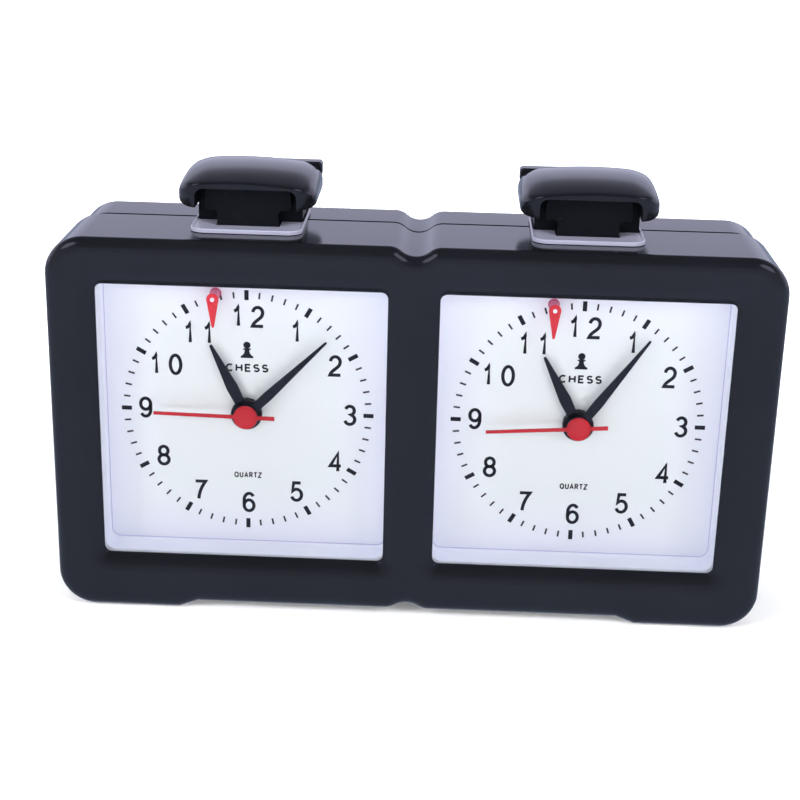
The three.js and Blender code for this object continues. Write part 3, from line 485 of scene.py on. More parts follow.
def dial_card(name, middle, rim, painted_glow):
    """Matt card, a little cooler and brighter towards the dial's edges, which is painted light."""
    look = Look(name)
    dial_middle = (DIAL_AT["right"][0] * MM, 0, DIAL_AT["right"][1] * MM)
    folded = look.vector("ABSOLUTE", look.node("ShaderNodeNewGeometry").outputs["Position"])
    away = look.vector("ABSOLUTE", look.vector("SUBTRACT", folded, dial_middle))
    parts = look.node("ShaderNodeSeparateXYZ", away).outputs
    # Share of the painted light, growing towards the dial's edges
    edge = look.between(look.math("MAXIMUM", parts["X"], parts["Z"]), 0, 1, 0.022, 0.038)
    look.wear({
        "Base Color": look.mix(edge, middle, rim),
        "Roughness": look.between(look.noise(SMEAR_SCALE, 5), 0.55, 0.65),
        "Emission Color": PAINTED_GLOW_TINT,
        "Emission Strength": look.between(edge, 0, painted_glow, 0, 1),
    })
    look.bump(look.noise(CARD_SCALE, 2), 0.08, GRAIN_DEPTH)


def metal(name, color, roughness, stretch=(1, 1, 1), scale=900):
    """Worked metal with fine marks along one direction."""
    look = Look(name)
    marks = look.noise(scale, 4, stretch)
    look.wear({
        "Base Color": look.mix(look.between(marks, 0, 1), shade(color, 0.82), shade(color, 1.08)),
        "Roughness": look.between(marks, roughness * 0.8, roughness * 1.3),
        "Metallic": 1,
    })
    look.bump(marks, 0.15, MARK_DEPTH)


def clear_plastic(name):
    """Clear sheet: lets light through unbent, with a faint reflection that grows at a slant."""
    look = Look(name)
    look.tree.nodes.remove(look.shader)
    seen = look.node("ShaderNodeBsdfTransparent", (0.985, 0.985, 0.99, 1)).outputs[0]
    gloss = look.node("ShaderNodeBsdfGlossy")
    look.feed(gloss, "Roughness", look.between(look.noise(60), 0.02, 0.06))
    slant = look.node("ShaderNodeFresnel", IOR=1.3).outputs[0]
    # Where the camera's ray leaves the sheet, the slant's share would make it a mirror
    back = look.node("ShaderNodeNewGeometry").outputs["Backfacing"]
    leaving = look.math("MULTIPLY", back, look.node("ShaderNodeLightPath").outputs["Is Camera Ray"])
    share = look.math("MULTIPLY", slant, look.between(leaving, 1, 0, 0, 1))
    look.show(look.blend(share, seen, gloss.outputs[0]))


plastic("case_black", (0.0062, 0.0068, 0.0092), 0.12, grain=0.1)
plastic("button_black", (0.0055, 0.006, 0.008), 0.1, grain=0.03)
plastic("neck_black", (0.0045, 0.005, 0.007), 0.25, specular=0.12, grain=0.08)
# The fillets' lighter grey is a painted highlight under the buttons' caps
plastic("fillet_painted_highlight", (0.16, 0.17, 0.20), 0.3, grain=0.05)
plastic("knob_black", (0.008, 0.008, 0.010), 0.3, grain=0.1)
plastic("collar_grey", (0.36, 0.36, 0.47), 0.22, specular=0.6, spread=0.04, grain=0.04)
# The white plastic's glow is painted light, brightening the surrounds where the case's frame shades them
plastic("white_plastic", (0.88, 0.90, 0.98), 0.45, spread=0.015, grain=0.06, painted_glow=0.14)
# The dial's cooler, glowing rim is painted light against the shade of the frame
dial_card("dial_print", (0.84, 0.885, 0.885), (0.83, 0.84, 0.93), 0.06)
metal("nut_black", (0.02, 0.02, 0.024), 0.4)
plastic("ink", (0.011, 0.012, 0.019), 0.5, spread=0.2, specular=0.2)
plastic("pale_ink", (0.03, 0.03, 0.045), 0.5, spread=0.2, specular=0.2)
plastic("border_ink", (0.50, 0.50, 0.74), 0.5, spread=0.1, specular=0.2)
plastic("hand_black", (0.008, 0.009, 0.015), 0.25)
plastic("flag_red", (0.78, 0.02, 0.035), 0.3, spread=0.05)
plastic("red_plastic", (0.60, 0.012, 0.022), 0.25, spread=0.06)
# The flag's post is red plastic; its rose colour is painted shade and haze
plastic("rose_painted_haze", (0.60, 0.10, 0.20), 0.35, spread=0.06)
clear_plastic("lens")
plastic("movement_plastic", (0.07, 0.07, 0.08), 0.45, grain=0.15)
plastic("gear_plastic", (0.72, 0.69, 0.60), 0.4, spread=0.05)
metal("brass", (0.78, 0.58, 0.26), 0.25)
metal("steel", (0.56, 0.57, 0.60), 0.28)
metal("copper", (0.62, 0.27, 0.12), 0.3, stretch=(12, 1, 1), scale=500)
plastic("magnet", (0.10, 0.10, 0.11), 0.5, grain=0.3, grain_scale=4000)
plastic("battery_jacket", (0.045, 0.11, 0.25), 0.25, coat=0.4)

for subpart in frame["record"]["subparts"]:
    cad = frame["nodes"][subpart["node"]]
    cad.data.materials.clear()
    look = "nut_black" if subpart["node"].startswith("dial_nut") else subpart["material_slot"]
    cad.data.materials.append(MATERIAL[look])


# ---- Case ----

SHELL_SHARP = 40
# (distance out from the window's edge, y) down the sloping frame round each window
WINDOW_SLOPE = [
    (0, -11.2), (0.25, -11.55), (1.2, -12.3), (2.1, -12.95), (2.9, -13.42), (3.5, -13.7), (4.1, -13.89),
    (4.7, -13.98), (5.1, -14),
]
SEAM_EDGE = [(0, 0.3), (0.05, 0.12), (0.16, 0.03), (0.3, 0)]  # (distance from the seam, inset)
REAR_SEAM_EDGE = [(0, 0.6), (0.05, 0.35), (0.16, 0.14), (0.32, 0.03), (0.5, 0)]


def close_shell(builder, half, outline, inside_y, end, rim, holes):
    """Half of the case gets its inner wall, from inside_y to end, and slots for the necks."""
    inner = builder.face_ring(outline, inside_y)
    builder.bridge(inner, builder.face_ring(outline, end), rim)
    builder.fill(inner, *holes)
    shell = builder.finish(f"{half}_shell", "case_black", "case", [f"{half}_case"], sharp=SHELL_SHARP)
    carve(shell, neck_tools(), SHELL_SHARP)


def front_shell():
    builder = Builder()
    rings = [builder.face_ring(case_outline(d), SEAM - y) for y, d in SEAM_EDGE]
    rings.append(builder.face_ring(case_outline(0), 2))
    for y, d in edge_profile(CASE_FRONT, FRONT_EDGE, -1, 10):
        rings.append(builder.face_ring(case_outline(d), y))
    builder.bridge(*rings)
    inside_y = CASE_FRONT + FRONT_THICK
    faces, insides = [rings[-1]], []
    for name in SIDES:
        loops = [
            builder.face_ring(square(WINDOW_HALF + out, WINDOW_RADIUS + out, DIAL_AT[name], 10), y)
            for out, y in [*reversed(WINDOW_SLOPE), (0, inside_y)]
        ]
        builder.bridge(*loops)
        faces.append(loops[0])
        insides.append(loops[-1])
    builder.fill(*faces)
    close_shell(builder, "front", case_outline(WALL), inside_y, SEAM, rings[0], insides)


NECK_HALF, NECK_FRONT, NECK_BACK = 13.8, 8.4, 24
TAB_HALF, TAB_FRONT = 8, 2.3
SLOT_GAP = 0.35


def neck_outline(x, gap):
    """T-shaped, from the front edge of its tab, counter-clockwise from above."""
    tab, wide = TAB_HALF + gap, NECK_HALF + gap
    front, middle, back = TAB_FRONT - gap, NECK_FRONT - gap, NECK_BACK + gap
    corners = [
        (tab, front), (tab, middle), (wide, middle), (wide, back),
        (-wide, back), (-wide, middle), (-tab, middle), (-tab, front),
    ]
    return [(x + a, b) for a, b in corners]


def neck_tools():
    """Tools for the slots that the buttons' necks pass through."""
    return [tool_prism(neck_outline(BUTTON_X[name], SLOT_GAP), CASE_TOP - 6, CASE_TOP + 3) for name in SIDES]


BAY = {"half": 28.3, "low": 7, "high": 23.2, "front": 13.6, "wall": 1.3}
KNOB_WELL = 8.6
SCREW_WELL = {"radius": 2.75, "floor": 24.2, "boss": 3.05, "end": 21.9}
LIP = 0.25


def rear_outline(gap):
    return [(x * BACK_NARROW, z) for x, z in case_outline(BACK_INSET + gap)]


def rear_shell():
    start = SEAM + SEAM_GAP
    builder = Builder()
    rings = [builder.face_ring(rear_outline(d), start + y) for y, d in REAR_SEAM_EDGE]
    rings.append(builder.face_ring(rear_outline(0), 22))
    for y, d in edge_profile(CASE_BACK, BACK_EDGE, 1, 8):
        rings.append(builder.face_ring(rear_outline(d), y))
    builder.bridge(*rings)
    inside_y = CASE_BACK - BACK_THICK
    outs, ins = [rings[-1]], []

    def mouth(outline, end):
        """A hole's softened edge and its wall down to end."""
        edge = builder.face_ring(inset(outline, -LIP), CASE_BACK)
        below = builder.face_ring(outline, CASE_BACK - LIP)
        last = builder.face_ring(outline, end)
        builder.bridge(edge, below, last)
        outs.append(edge)
        return last

    def stand(outline, end):
        """The inner side of a bay or boss, which stands on the half's inner face."""
        foot, top = builder.face_ring(outline, inside_y), builder.face_ring(outline, end)
        builder.bridge(foot, top)
        builder.fill(top)
        ins.append(foot)

    for name in SIDES:
        x = DIAL_AT[name][0]
        bay = rounded_box(x - BAY["half"], x + BAY["half"], BAY["low"], BAY["high"], 1.8, 5)
        builder.fill(mouth(bay, BAY["front"]))
        stand(inset(bay, -BAY["wall"]), BAY["front"] - BAY["wall"])
        ins.append(mouth(circle(KNOB_WELL, KNOB_AT[name]), inside_y))
        builder.fill(mouth(circle(SCREW_WELL["radius"], SCREW_AT[name], 32), SCREW_WELL["floor"]))
        stand(circle(SCREW_WELL["boss"], SCREW_AT[name], 32), SCREW_WELL["end"])
    builder.fill(*outs)
    close_shell(builder, "rear", rear_outline(BACK_WALL), inside_y, start, rings[0], ins)


def seam_lip():
    """The rear half's inner lip, which closes the seam."""
    start, end = SEAM + 0.1, SEAM + SEAM_GAP + 3
    builder = Builder()
    outer = [builder.face_ring(rear_outline(BACK_WALL + 0.05), y) for y in (start, end)]
    inner = [builder.face_ring(rear_outline(BACK_WALL + 0.85), y) for y in (end, start)]
    builder.bridge(*outer, *inner, outer[0])
    lip = builder.finish("seam_lip", "case_black", "case", sharp=SHELL_SHARP)
    carve(lip, neck_tools(), SHELL_SHARP)


# ---- Clock faces ----

LENS_HALF, LENS_FRONT, LENS_BACK = 40, -10.45, -8.95
DIAL_HALF, DIAL_RADIUS = 40.8, 3
NOSE_HOLE = 3.25
INK = (0.02, -0.035)  # back and front of every printed mark


def surround(name):
    at = DIAL_AT[name]
    builder = Builder()
    outer = square(DIAL_HALF, DIAL_RADIUS, at)
    profile = [(37.95, -8.62), (38.0, -8.3), (38.8, -1.2), (38.7, -0.6), (38.45, -0.28), (38.2, -0.15)]
    rings = [builder.face_ring(outer, -0.15), builder.face_ring(outer, -8.8)]
    rings.append(builder.face_ring(square(38.15, 2.6, at), -8.8))
    rings += [builder.face_ring(square(half, 2.6, at), y) for half, y in profile]
    builder.bridge(*rings, rings[0])
    builder.finish(f"surround_{name}", "white_plastic", "case", [f"dial_surround_{name}"])


def ribbon(points, width, closed=False):
    """Left and right edges of a stroke of even width along points."""
    left, right = [], []
    count = len(points)
    for i, here in enumerate(points):
        before = points[i - 1] if i or closed else None
        after = points[(i + 1) % count] if i < count - 1 or closed else None
        first = (Vector(here) - Vector(before)).normalized() if before else None
        second = (Vector(after) - Vector(here)).normalized() if after else None
        first = first or second
        second = second or first
        reach = mitre(first, second, 0.45) * width / 2
        left.append((here[0] + reach.x, here[1] + reach.y))
        right.append((here[0] - reach.x, here[1] - reach.y))
    return left, right


def add_stroke(builder, points, width, y_back, y_front, closed=False):
    """One raised line of ink."""
    left, right = ribbon(points, width, closed)
    edges = ((left, y_back), (left, y_front), (right, y_front), (right, y_back))
    rows = [builder.face_ring(side, y) for side, y in edges]
    count = len(points)
    last = count if closed else count - 1
    for row, following in zip(rows, rows[1:] + rows[:1]):
        for i in range(last):
            j = (i + 1) % count
            builder.bm.faces.new((row[i], row[j], following[j], following[i]))
    if not closed:
        builder.bm.faces.new([row[0] for row in rows])
        builder.bm.faces.new([row[-1] for row in rows])


def curve(*controls, steps=8):
    """A cubic curve through its four control points."""
    a, b, c, d = (Vector(p) for p in controls)
    made = []
    for i in range(steps + 1):
        t = i / steps
        p = a * (1 - t) ** 3 + b * 3 * t * (1 - t) ** 2 + c * 3 * t * t * (1 - t) + d * t ** 3
        made.append((p.x, p.y))
    return made


# Width and strokes of each sign in a box 1 high; a stroke is closed where it ends at its start
SIX = arc(0.30, 0.62, 0.27, 35, 180, 8, 0.38) + arc(0.29, 0.31, 0.26, 180, 540, 18, 0.31)
SIGNS = {
    "0": (0.58, [arc(0.29, 0.5, 0.27, 0, 360, 24, 0.5)]),
    "1": (0.36, [curve((0.06, 0.78), (0.16, 0.80), (0.25, 0.86), (0.28, 1.0)) + [(0.28, 0)]]),
    "2": (0.58, [arc(0.29, 0.72, 0.25, 175, -25, 12, 0.28)
                 + curve((0.50, 0.55), (0.42, 0.38), (0.08, 0.25), (0.02, 0), steps=6) + [(0.56, 0)]]),
    "3": (0.56, [arc(0.27, 0.755, 0.23, 160, -90, 12, 0.245)[:-1]
                 + arc(0.27, 0.265, 0.26, 80, -165, 12, 0.265)]),
    "4": (0.60, [[(0.42, 0), (0.42, 1), (0.02, 0.3), (0.58, 0.3)]]),
    "5": (0.57, [[(0.50, 1), (0.13, 1), (0.07, 0.52)] + arc(0.28, 0.32, 0.27, 125, -160, 14, 0.32)]),
    "6": (0.57, [SIX]),
    "7": (0.57, [[(0.02, 1)] + curve((0.55, 1), (0.36, 0.72), (0.20, 0.38), (0.18, 0))]),
    "8": (0.58, [arc(0.29, 0.755, 0.225, 0, 360, 18, 0.245), arc(0.29, 0.265, 0.265, 0, 360, 18, 0.265)]),
    "9": (0.57, [[(0.57 - x, 1 - z) for x, z in SIX]]),
    "C": (0.70, [arc(0.38, 0.5, 0.34, 50, 310, 14, 0.5)]),
    "H": (0.66, [[(0.06, 0), (0.06, 1)], [(0.6, 0), (0.6, 1)], [(0.06, 0.52), (0.6, 0.52)]]),
    "E": (0.58, [[(0.54, 1), (0.06, 1), (0.06, 0), (0.54, 0)], [(0.06, 0.52), (0.48, 0.52)]]),
    "S": (0.60, [arc(0.3, 0.75, 0.23, 30, 250, 9, 0.25) + arc(0.3, 0.26, 0.25, 80, -150, 9, 0.26)]),
    "Q": (0.76, [arc(0.38, 0.5, 0.34, 0, 360, 18, 0.5), [(0.46, 0.22), (0.74, -0.04)]]),
    "U": (0.66, [[(0.06, 1)] + arc(0.33, 0.3, 0.27, 180, 360, 9, 0.3) + [(0.6, 1)]]),
    "A": (0.68, [[(0.02, 0), (0.34, 1), (0.66, 0)], [(0.13, 0.34), (0.55, 0.34)]]),
    "R": (0.62, [[(0.06, 0), (0.06, 1), (0.3, 1)] + arc(0.32, 0.75, 0.24, 90, -90, 8, 0.25) + [(0.06, 0.5)],
                 [(0.32, 0.5), (0.58, 0)]]),
    "T": (0.60, [[(0.0, 1), (0.6, 1)], [(0.3, 1), (0.3, 0)]]),
    "Z": (0.60, [[(0.03, 1), (0.57, 1), (0.02, 0), (0.59, 0)]]),
}


def add_word(builder, word, middle, high, width, space=0.16, wide=1.0):
    """A word centred on middle."""
    widths = [SIGNS[sign][0] * wide for sign in word]
    x = -(sum(widths) + space * (len(word) - 1)) / 2
    for sign, own in zip(word, widths):
        for points in SIGNS[sign][1]:
            closed = math.dist(points[0], points[-1]) < SAME_PLACE
            placed = [(middle[0] + (x + a * wide) * high, middle[1] + (b - 0.5) * high) for a, b in points]
            add_stroke(builder, placed[:-1] if closed else placed, width, *INK, closed)
        x += own + space


TICK_RADIUS = 32.75
BORDER_HALF = 37.95
HOUR_TICK = (2.75, 1.15)
MINUTE_TICK = (1.75, 0.5)
NUMERAL_HIGH = 6.1
NUMERAL_STROKE = 0.9
NUMERAL_SPACE = 0.62
NUMERAL_RADIUS = {6: 26.3, 9: 27.6, 3: 27.4, 12: 26.6}
NUMERAL_SHIFT = {
    1: (-0.6, -0.4), 2: (0.25, 0.4), 3: (0.35, 0), 4: (0.6, -0.3), 5: (-0.15, 0.5), 6: (0.2, -0.2),
    7: (0.4, 0), 8: (0.35, 0), 9: (0, 0.3), 10: (1.6, -0.7), 11: (0.4, -1.6), 12: (0.4, 0.25),
}


def clockwise(angle, radius, at=(0, 0)):
    """The point at so many degrees clockwise from twelve."""
    turn = math.radians(angle)
    return at[0] + radius * math.sin(turn), at[1] + radius * math.cos(turn)


def dial_ticks(name):
    at = DIAL_AT[name]
    hours, minutes = Builder(), Builder()
    for i in range(60):
        builder, (length, width) = (minutes, MINUTE_TICK) if i % 5 else (hours, HOUR_TICK)
        ends = [clockwise(6 * i, TICK_RADIUS + reach * length / 2, at) for reach in (-1, 1)]
        add_stroke(builder, ends, width, *INK)
    hours.finish(f"hour_ticks_{name}", "ink", "case")
    border = Builder()
    add_stroke(border, square(BORDER_HALF, 2.5, at), 0.16, *INK, closed=True)
    border.finish(f"border_{name}", "border_ink", "case")
    minutes.finish(f"minute_ticks_{name}", "pale_ink", "case")


def dial_numerals(name):
    at = DIAL_AT[name]
    builder = Builder()
    for hour in range(1, 13):
        right, up = NUMERAL_SHIFT[hour]
        middle = clockwise(30 * hour, NUMERAL_RADIUS.get(hour, 27), (at[0] + right, at[1] + up))
        add_word(builder, str(hour), middle, NUMERAL_HIGH - NUMERAL_STROKE, NUMERAL_STROKE, NUMERAL_SPACE)
    builder.finish(f"numerals_{name}", "ink", "case")


def dial_emblem(name):
    """A chess pawn over a plain word, and a second word above the six."""
    x, z = DIAL_AT[name]
    builder = Builder()
    add_word(builder, "CHESS", (x, z + 12.5), 1.8, 0.5, 0.42, 1.45)
    add_word(builder, "QUARTZ", (x, z - 18.4), 1.35, 0.33, 0.3)
    builder.finish(f"words_{name}", "ink", "case")
    low = z + 15.3
    right = [
        (1.35, 0), (1.35, 0.4), (0.95, 0.62), (0.62, 1.1), (0.46, 1.75), (0.85, 1.95), (0.85, 2.2),
        (0.4, 2.2),
    ]
    head = arc(0, 2.95, 0.78, -60, 90, 8)
    half = [(a * 1.25, b * 1.22) for a, b in right + head]
    outline = [(x + a, low + b) for a, b in half] + [(x - a, low + b) for a, b in reversed(half[:-1])]
    slab(f"pawn_{name}", outline, *INK, 0.01, "ink", "case")


FLAG = {
    "x": -8.15, "z": 33, "length": 7.7, "head": 1.6, "tip": 0.35, "bore": 0.55, "front": -6.2, "back": -5.6,
}


def dial(name):
    at = DIAL_AT[name]
    slab(
        f"dial_plate_{name}", square(DIAL_HALF, DIAL_RADIUS, at), 1, 0, 0.08, "dial_print", "case",
        holes=[circle(NOSE_HOLE, at)], replaces=[f"dial_{name}"]
    )
    dial_ticks(name)
    dial_numerals(name)
    dial_emblem(name)
    post = (at[0] + FLAG["x"], at[1] + FLAG["z"])
    # The post's rose colour is painted shade and haze on red plastic
    lathe(
        f"flag_boss_{name}",
        [(1.55, 0.3), (1.55, -0.2), (1.4, -0.42), (1.2, -0.6), (1.15, -1), (1.15, -5.4), (1.05, -5.48),
         (0, -5.48)],
        post, "rose_painted_haze", "case", steps=36
    )
    lathe(
        f"flag_post_{name}",
        [(0.45, -5.4), (0.45, -6.32), (0.55, -6.34), (0.55, -6.52), (0.4, -6.66), (0, -6.7)],
        post, "white_plastic", "case", steps=32
    )


def flag(name):
    at = DIAL_AT[name]
    x, z = at[0] + FLAG["x"], at[1] + FLAG["z"]
    head, tip, length = FLAG["head"], FLAG["tip"], FLAG["length"]
    slope = math.degrees(math.asin((head - tip) / (length - tip)))
    outline = arc(x, z, head, -slope, 180 + slope, 28)
    outline += arc(x, z - length + tip, tip, 180 + slope, 360 - slope, 8)
    slab(
        f"flag_drop_{name}", outline, FLAG["back"], FLAG["front"], 0.15, "flag_red", f"flag_{name}",
        holes=[circle(FLAG["bore"], (x, z), 24)], replaces=[f"flag_{name}"]
    )


def lens(name):
    slab(
        f"window_{name}", square(LENS_HALF, DIAL_RADIUS, DIAL_AT[name]), LENS_BACK, LENS_FRONT, 0.15,
        "lens", "case", replaces=[f"lens_{name}"]
    )


# ---- Hands ----

SHOWN = {
    "left": {"hour": 334, "minute": 45, "second": 271},  # degrees clockwise from twelve
    "right": {"hour": 332.5, "minute": 35, "second": 266},
}
BELLY_AT = 8.5
HOUR_HAND = {
    "length": 21.6, "wide": 2.6, "belly": 3.2, "tip": 0.85, "hub": 4.2, "bore": 1.95,
    "front": -2.6, "back": -2.0,
}
MINUTE_HAND = {
    "length": 30.4, "wide": 2.4, "belly": 2.7, "tip": 0.62, "hub": 3.2, "bore": 1.15,
    "front": -3.7, "back": -3.2,
}
SECOND_HAND = {"length": 24.7, "tail": 7.8, "wide": 1.1, "tip": 0.85, "front": -4.75, "back": -4.25}


def turned(points, degrees, at):
    """Points drawn pointing to twelve, turned clockwise and moved to at."""
    turn = math.radians(degrees)
    cos, sin = math.cos(turn), math.sin(turn)
    return [(at[0] + x * cos + z * sin, at[1] - x * sin + z * cos) for x, z in points]


def hand(kind, size, name):
    """A tapering blade, and the round boss that it grows from."""
    at = DIAL_AT[name]
    body = f"{kind}_hand_{name}"
    front, back, bore, hub, length = (size[key] for key in ("front", "back", "bore", "hub", "length"))
    wide, belly, tip = (size[key] / 2 for key in ("wide", "belly", "tip"))
    half = [(wide, bore + 0.4), (belly, BELLY_AT), (tip, length - tip), (tip * 0.7, length - tip * 0.3)]
    blade = turned(half + [(0, length)] + [(-x, z) for x, z in reversed(half)], SHOWN[name][kind], at)
    slab(f"{kind}_blade_{name}", blade, back, front, 0.1, "hand_black", body, replaces=[body], sharp=20)
    builder = Builder()
    profile = [(bore, back), (hub - 0.05, back), (hub, back - 0.08), (hub, front + 0.16),
               (hub - 0.16, front), (bore + 0.9, front), (bore + 0.7, front - 0.22), (bore, front - 0.22)]
    rings = [builder.face_ring(circle(radius, at), y) for radius, y in profile]
    builder.bridge(*rings, rings[0])
    builder.finish(f"{kind}_boss_{name}", "hand_black", body)


def second_hand(name):
    at = DIAL_AT[name]
    size = SECOND_HAND
    wide, tip = size["wide"] / 2, size["tip"] / 2
    needle = [(-wide, -size["tail"]), (wide, -size["tail"]), (tip, size["length"]), (-tip, size["length"])]
    body = f"second_hand_{name}"
    slab(
        f"second_needle_{name}", turned(needle, SHOWN[name]["second"], at), size["back"], size["front"], 0.1,
        "red_plastic", body, replaces=[body]
    )
    lathe(
        f"second_cap_{name}",
        [(0, -4.2), (3.05, -4.2), (3.22, -4.35), (3.25, -4.6), (3.2, -4.95), (3.0, -5.2), (2.6, -5.33),
         (1.8, -5.39), (0.9, -5.4), (0, -5.4)],
        at, "red_plastic", body, steps=56,
    )


# ---- Buttons and collars ----

CAP = {"half": 18, "front": -3, "back": 28, "bottom": 109.5, "crown": 118.5, "crown_y": 15, "radius": 6.5}
FRONT_FALL = 1.9 / 17 ** 2
ARCH_FALL = 0.004
END_FALL = 1.5
END_START = 10.5


def cap_height(out, y):
    """Height of the cap's top; out counts from its middle towards the nearer end of the case."""
    near_end = max(0.0, (abs(out) - END_START) / (CAP["half"] - END_START))
    fall = FRONT_FALL * (y - CAP["crown_y"]) ** 2 + ARCH_FALL * (out - 2.5) ** 2
    return CAP["crown"] - fall - END_FALL * near_end ** 2.2


def edge_radius(normal):
    """The cap's edge is crisp in front, and softer at its ends and back."""
    if normal.y < 0:
        return 0.55 * normal.y ** 2 + 2.3 * normal.x ** 2
    return 1.6 * normal.y ** 2 + 2.3 * normal.x ** 2


def outline_normals(outline):
    """Outward normals of a counter-clockwise outline."""
    normals = []
    count = len(outline)
    for i in range(count):
        before, after = Vector(outline[i - 1]), Vector(outline[(i + 1) % count])
        along = (after - before).normalized()
        normals.append(Vector((along.y, -along.x)))
    return normals


def subdivided(outline, longest):
    """The outline with extra points along its long edges."""
    made = []
    for i, here in enumerate(outline):
        after = Vector(outline[(i + 1) % len(outline)])
        start = Vector(here)
        parts = max(1, math.ceil((after - start).length / longest))
        for k in range(parts):
            p = start.lerp(after, k / parts)
            made.append((p.x, p.y))
    return made


CAVITY = {"half": 13.1, "top": 114.7, "radius": 2.2}


def button_cap(name, side):
    outline = rounded_box(-CAP["half"], CAP["half"], CAP["front"], CAP["back"], CAP["radius"], 10)
    outline = subdivided(outline, 1.6)
    middle = Vector((0, CAP["crown_y"] - 1))
    x = BUTTON_X[name]

    def bottom_edge(at, normal, share):
        turn, radius = share * math.pi / 2, 0.5 + 1.2 * normal.x ** 2
        spot = at - normal * radius * (1 - math.sin(turn))
        return spot.x, spot.y, CAP["bottom"] + radius * (1 - math.cos(turn))

    def top_edge(at, normal, share):
        turn, radius = share * math.pi / 2, edge_radius(normal)
        spot = at - normal * radius * (1 - math.cos(turn))
        return spot.x, spot.y, cap_height(*spot) - radius * (1 - math.sin(turn))

    def top(at, normal, share):
        spot = (at - normal * edge_radius(normal)).lerp(middle, share)
        return spot.x, spot.y, cap_height(*spot)

    builder = Builder()
    rings = []
    for part, first, last, steps in ((bottom_edge, 0, 3, 3), (top_edge, 0, 7, 7), (top, 1, 13, 14)):
        for k in range(first, last + 1):
            spots = [part(Vector(p), n, k / steps) for p, n in zip(outline, outline_normals(outline))]
            rings.append(builder.ring([(x + side * out, y, z) for out, y, z in spots]))
    builder.bridge(*rings)
    builder.fan(rings[-1], (x + side * middle.x, middle.y, cap_height(*middle)))
    builder.cap(rings[0])
    cap = builder.finish(
        f"button_cap_{name}", "button_black", f"button_{name}", [f"button_{name}"], sharp=50, weighted=False
    )
    half = CAVITY["half"]
    corners = upper_corners(x, half, CAVITY["top"], CAVITY["radius"])
    cavity = [(x + half, 107), *corners, (x - half, 107)]
    carve(cap, [tool_prism(cavity, 25.5, -5, "face")], 50, weighted=False)


FILLET = 2.2
NECK_LOW, NECK_TOP = 99.5, 115
# The tab widens at its shoulder under the cap, with rounded corners
TAB = {"shoulder": 108.2, "top": 115.1, "half": 11.4, "inner": 1.2, "lower": 0.8, "upper": 3.2}


def button_neck(name):
    """The stem under the cap: a wide block behind, and a tab in front which widens under the cap."""
    x = BUTTON_X[name]

    def part(kind, outline, back, front):
        slab(f"button_{kind}_{name}", outline, back, front, 0.3, "neck_black", f"button_{name}")

    neck = [(x - NECK_HALF, NECK_LOW), (x + NECK_HALF, NECK_LOW)]
    neck += upper_corners(x, NECK_HALF, NECK_TOP, 1.4, 4)
    part("neck", neck, NECK_BACK, NECK_FRONT)
    shoulder, half = TAB["shoulder"], TAB["half"]
    inner, lower, upper = TAB["inner"], TAB["lower"], TAB["upper"]
    tab = [(x - TAB_HALF, NECK_LOW), (x + TAB_HALF, NECK_LOW)]
    tab += arc(x + TAB_HALF + inner, shoulder - inner, inner, 180, 90, 5)
    tab += arc(x + half - lower, shoulder + lower, lower, -90, 0, 4)
    tab += upper_corners(x, half, TAB["top"], upper)
    tab += arc(x - half + lower, shoulder + lower, lower, 180, 270, 4)
    tab += arc(x - TAB_HALF - inner, shoulder - inner, inner, 90, 0, 5)
    part("tab", tab, NECK_FRONT + 1, TAB_FRONT)
    back, start = NECK_FRONT + 0.3, NECK_FRONT - FILLET
    low, high = CAVITY["top"] - FILLET, CAVITY["top"] + 0.2
    section = [(back, low), *arc(start, low, FILLET, 0, 90, 8), (start, high), (back, high)]
    builder = Builder()
    ends = [builder.ring([(at, y, z) for y, z in section]) for at in (x - 13.4, x + 13.4)]
    builder.bridge(*ends)
    for end in ends:
        builder.cap(end)
    # The fillet carries a painted highlight in a lighter grey
    builder.finish(f"button_fillet_{name}", "fillet_painted_highlight", f"button_{name}")
    part("stem", rounded_box(x - 4, x + 4, 94.25, 100.5, 0.6, 3), 16.5, 9.5)


def button_wing(name, side):
    """The straight flange behind the cap, on the side of the case's middle."""
    inner, outer, low, high = 26.9, 52, 112.9, 116.7
    outline = (
        [(inner + 0.4, low), (outer - 1, low)]
        + arc(outer - 2.6, high - 2.6, 2.6, 0, 90, 6)
        + arc(inner + 0.9, high - 0.9, 0.9, 90, 180, 4)
        + [(inner, low + 0.4)]
    )
    outline = [(side * a, b) for a, b in outline]
    if side < 0:
        outline.reverse()
    slab(f"button_wing_{name}", outline, 30, 25.6, 0.45, "button_black", f"button_{name}")


COLLAR = {"half": 14.6, "front": -3.8, "back": 27, "bottom": 103.35, "top": 104.1, "rim_top": 104.4}


def collar(name):
    x = BUTTON_X[name]
    size = COLLAR
    outline = rounded_box(x - size["half"], x + size["half"], size["front"], size["back"], 4, 8)
    profile = [(size["bottom"], 0), *edge_profile(size["rim_top"], 0.3, 1, 5)]
    profile += [(size["rim_top"] - 0.12, 0.7), (size["top"] + 0.1, 0.82), (size["top"], 1.05)]
    builder = Builder()
    rings = [builder.plan_ring(inset(outline, d), z) for z, d in profile]
    builder.bridge(*rings)
    builder.fill(rings[-1])
    builder.fill(rings[0])
    plate = builder.finish(f"collar_{name}", "collar_grey", "case", [f"button_collar_{name}"])
    hole = neck_outline(x, SLOT_GAP)
    carve(plate, [tool_prism(hole, size["bottom"] - 1, size["rim_top"] + 1)])


# ---- Back: knobs, doors, screws ----

FLUTES, FLUTE_STEPS = 18, 8


def fluted(radius, depth, at):
    """A circle with so many shallow grooves in it."""
    made = []
    count = FLUTES * FLUTE_STEPS
    for i in range(count):
        angle = 2 * math.pi * i / count
        r = radius - depth * (0.5 - 0.5 * math.cos(FLUTES * angle)) ** 1.5
        made.append((at[0] + r * math.cos(angle), at[1] + r * math.sin(angle)))
    return made


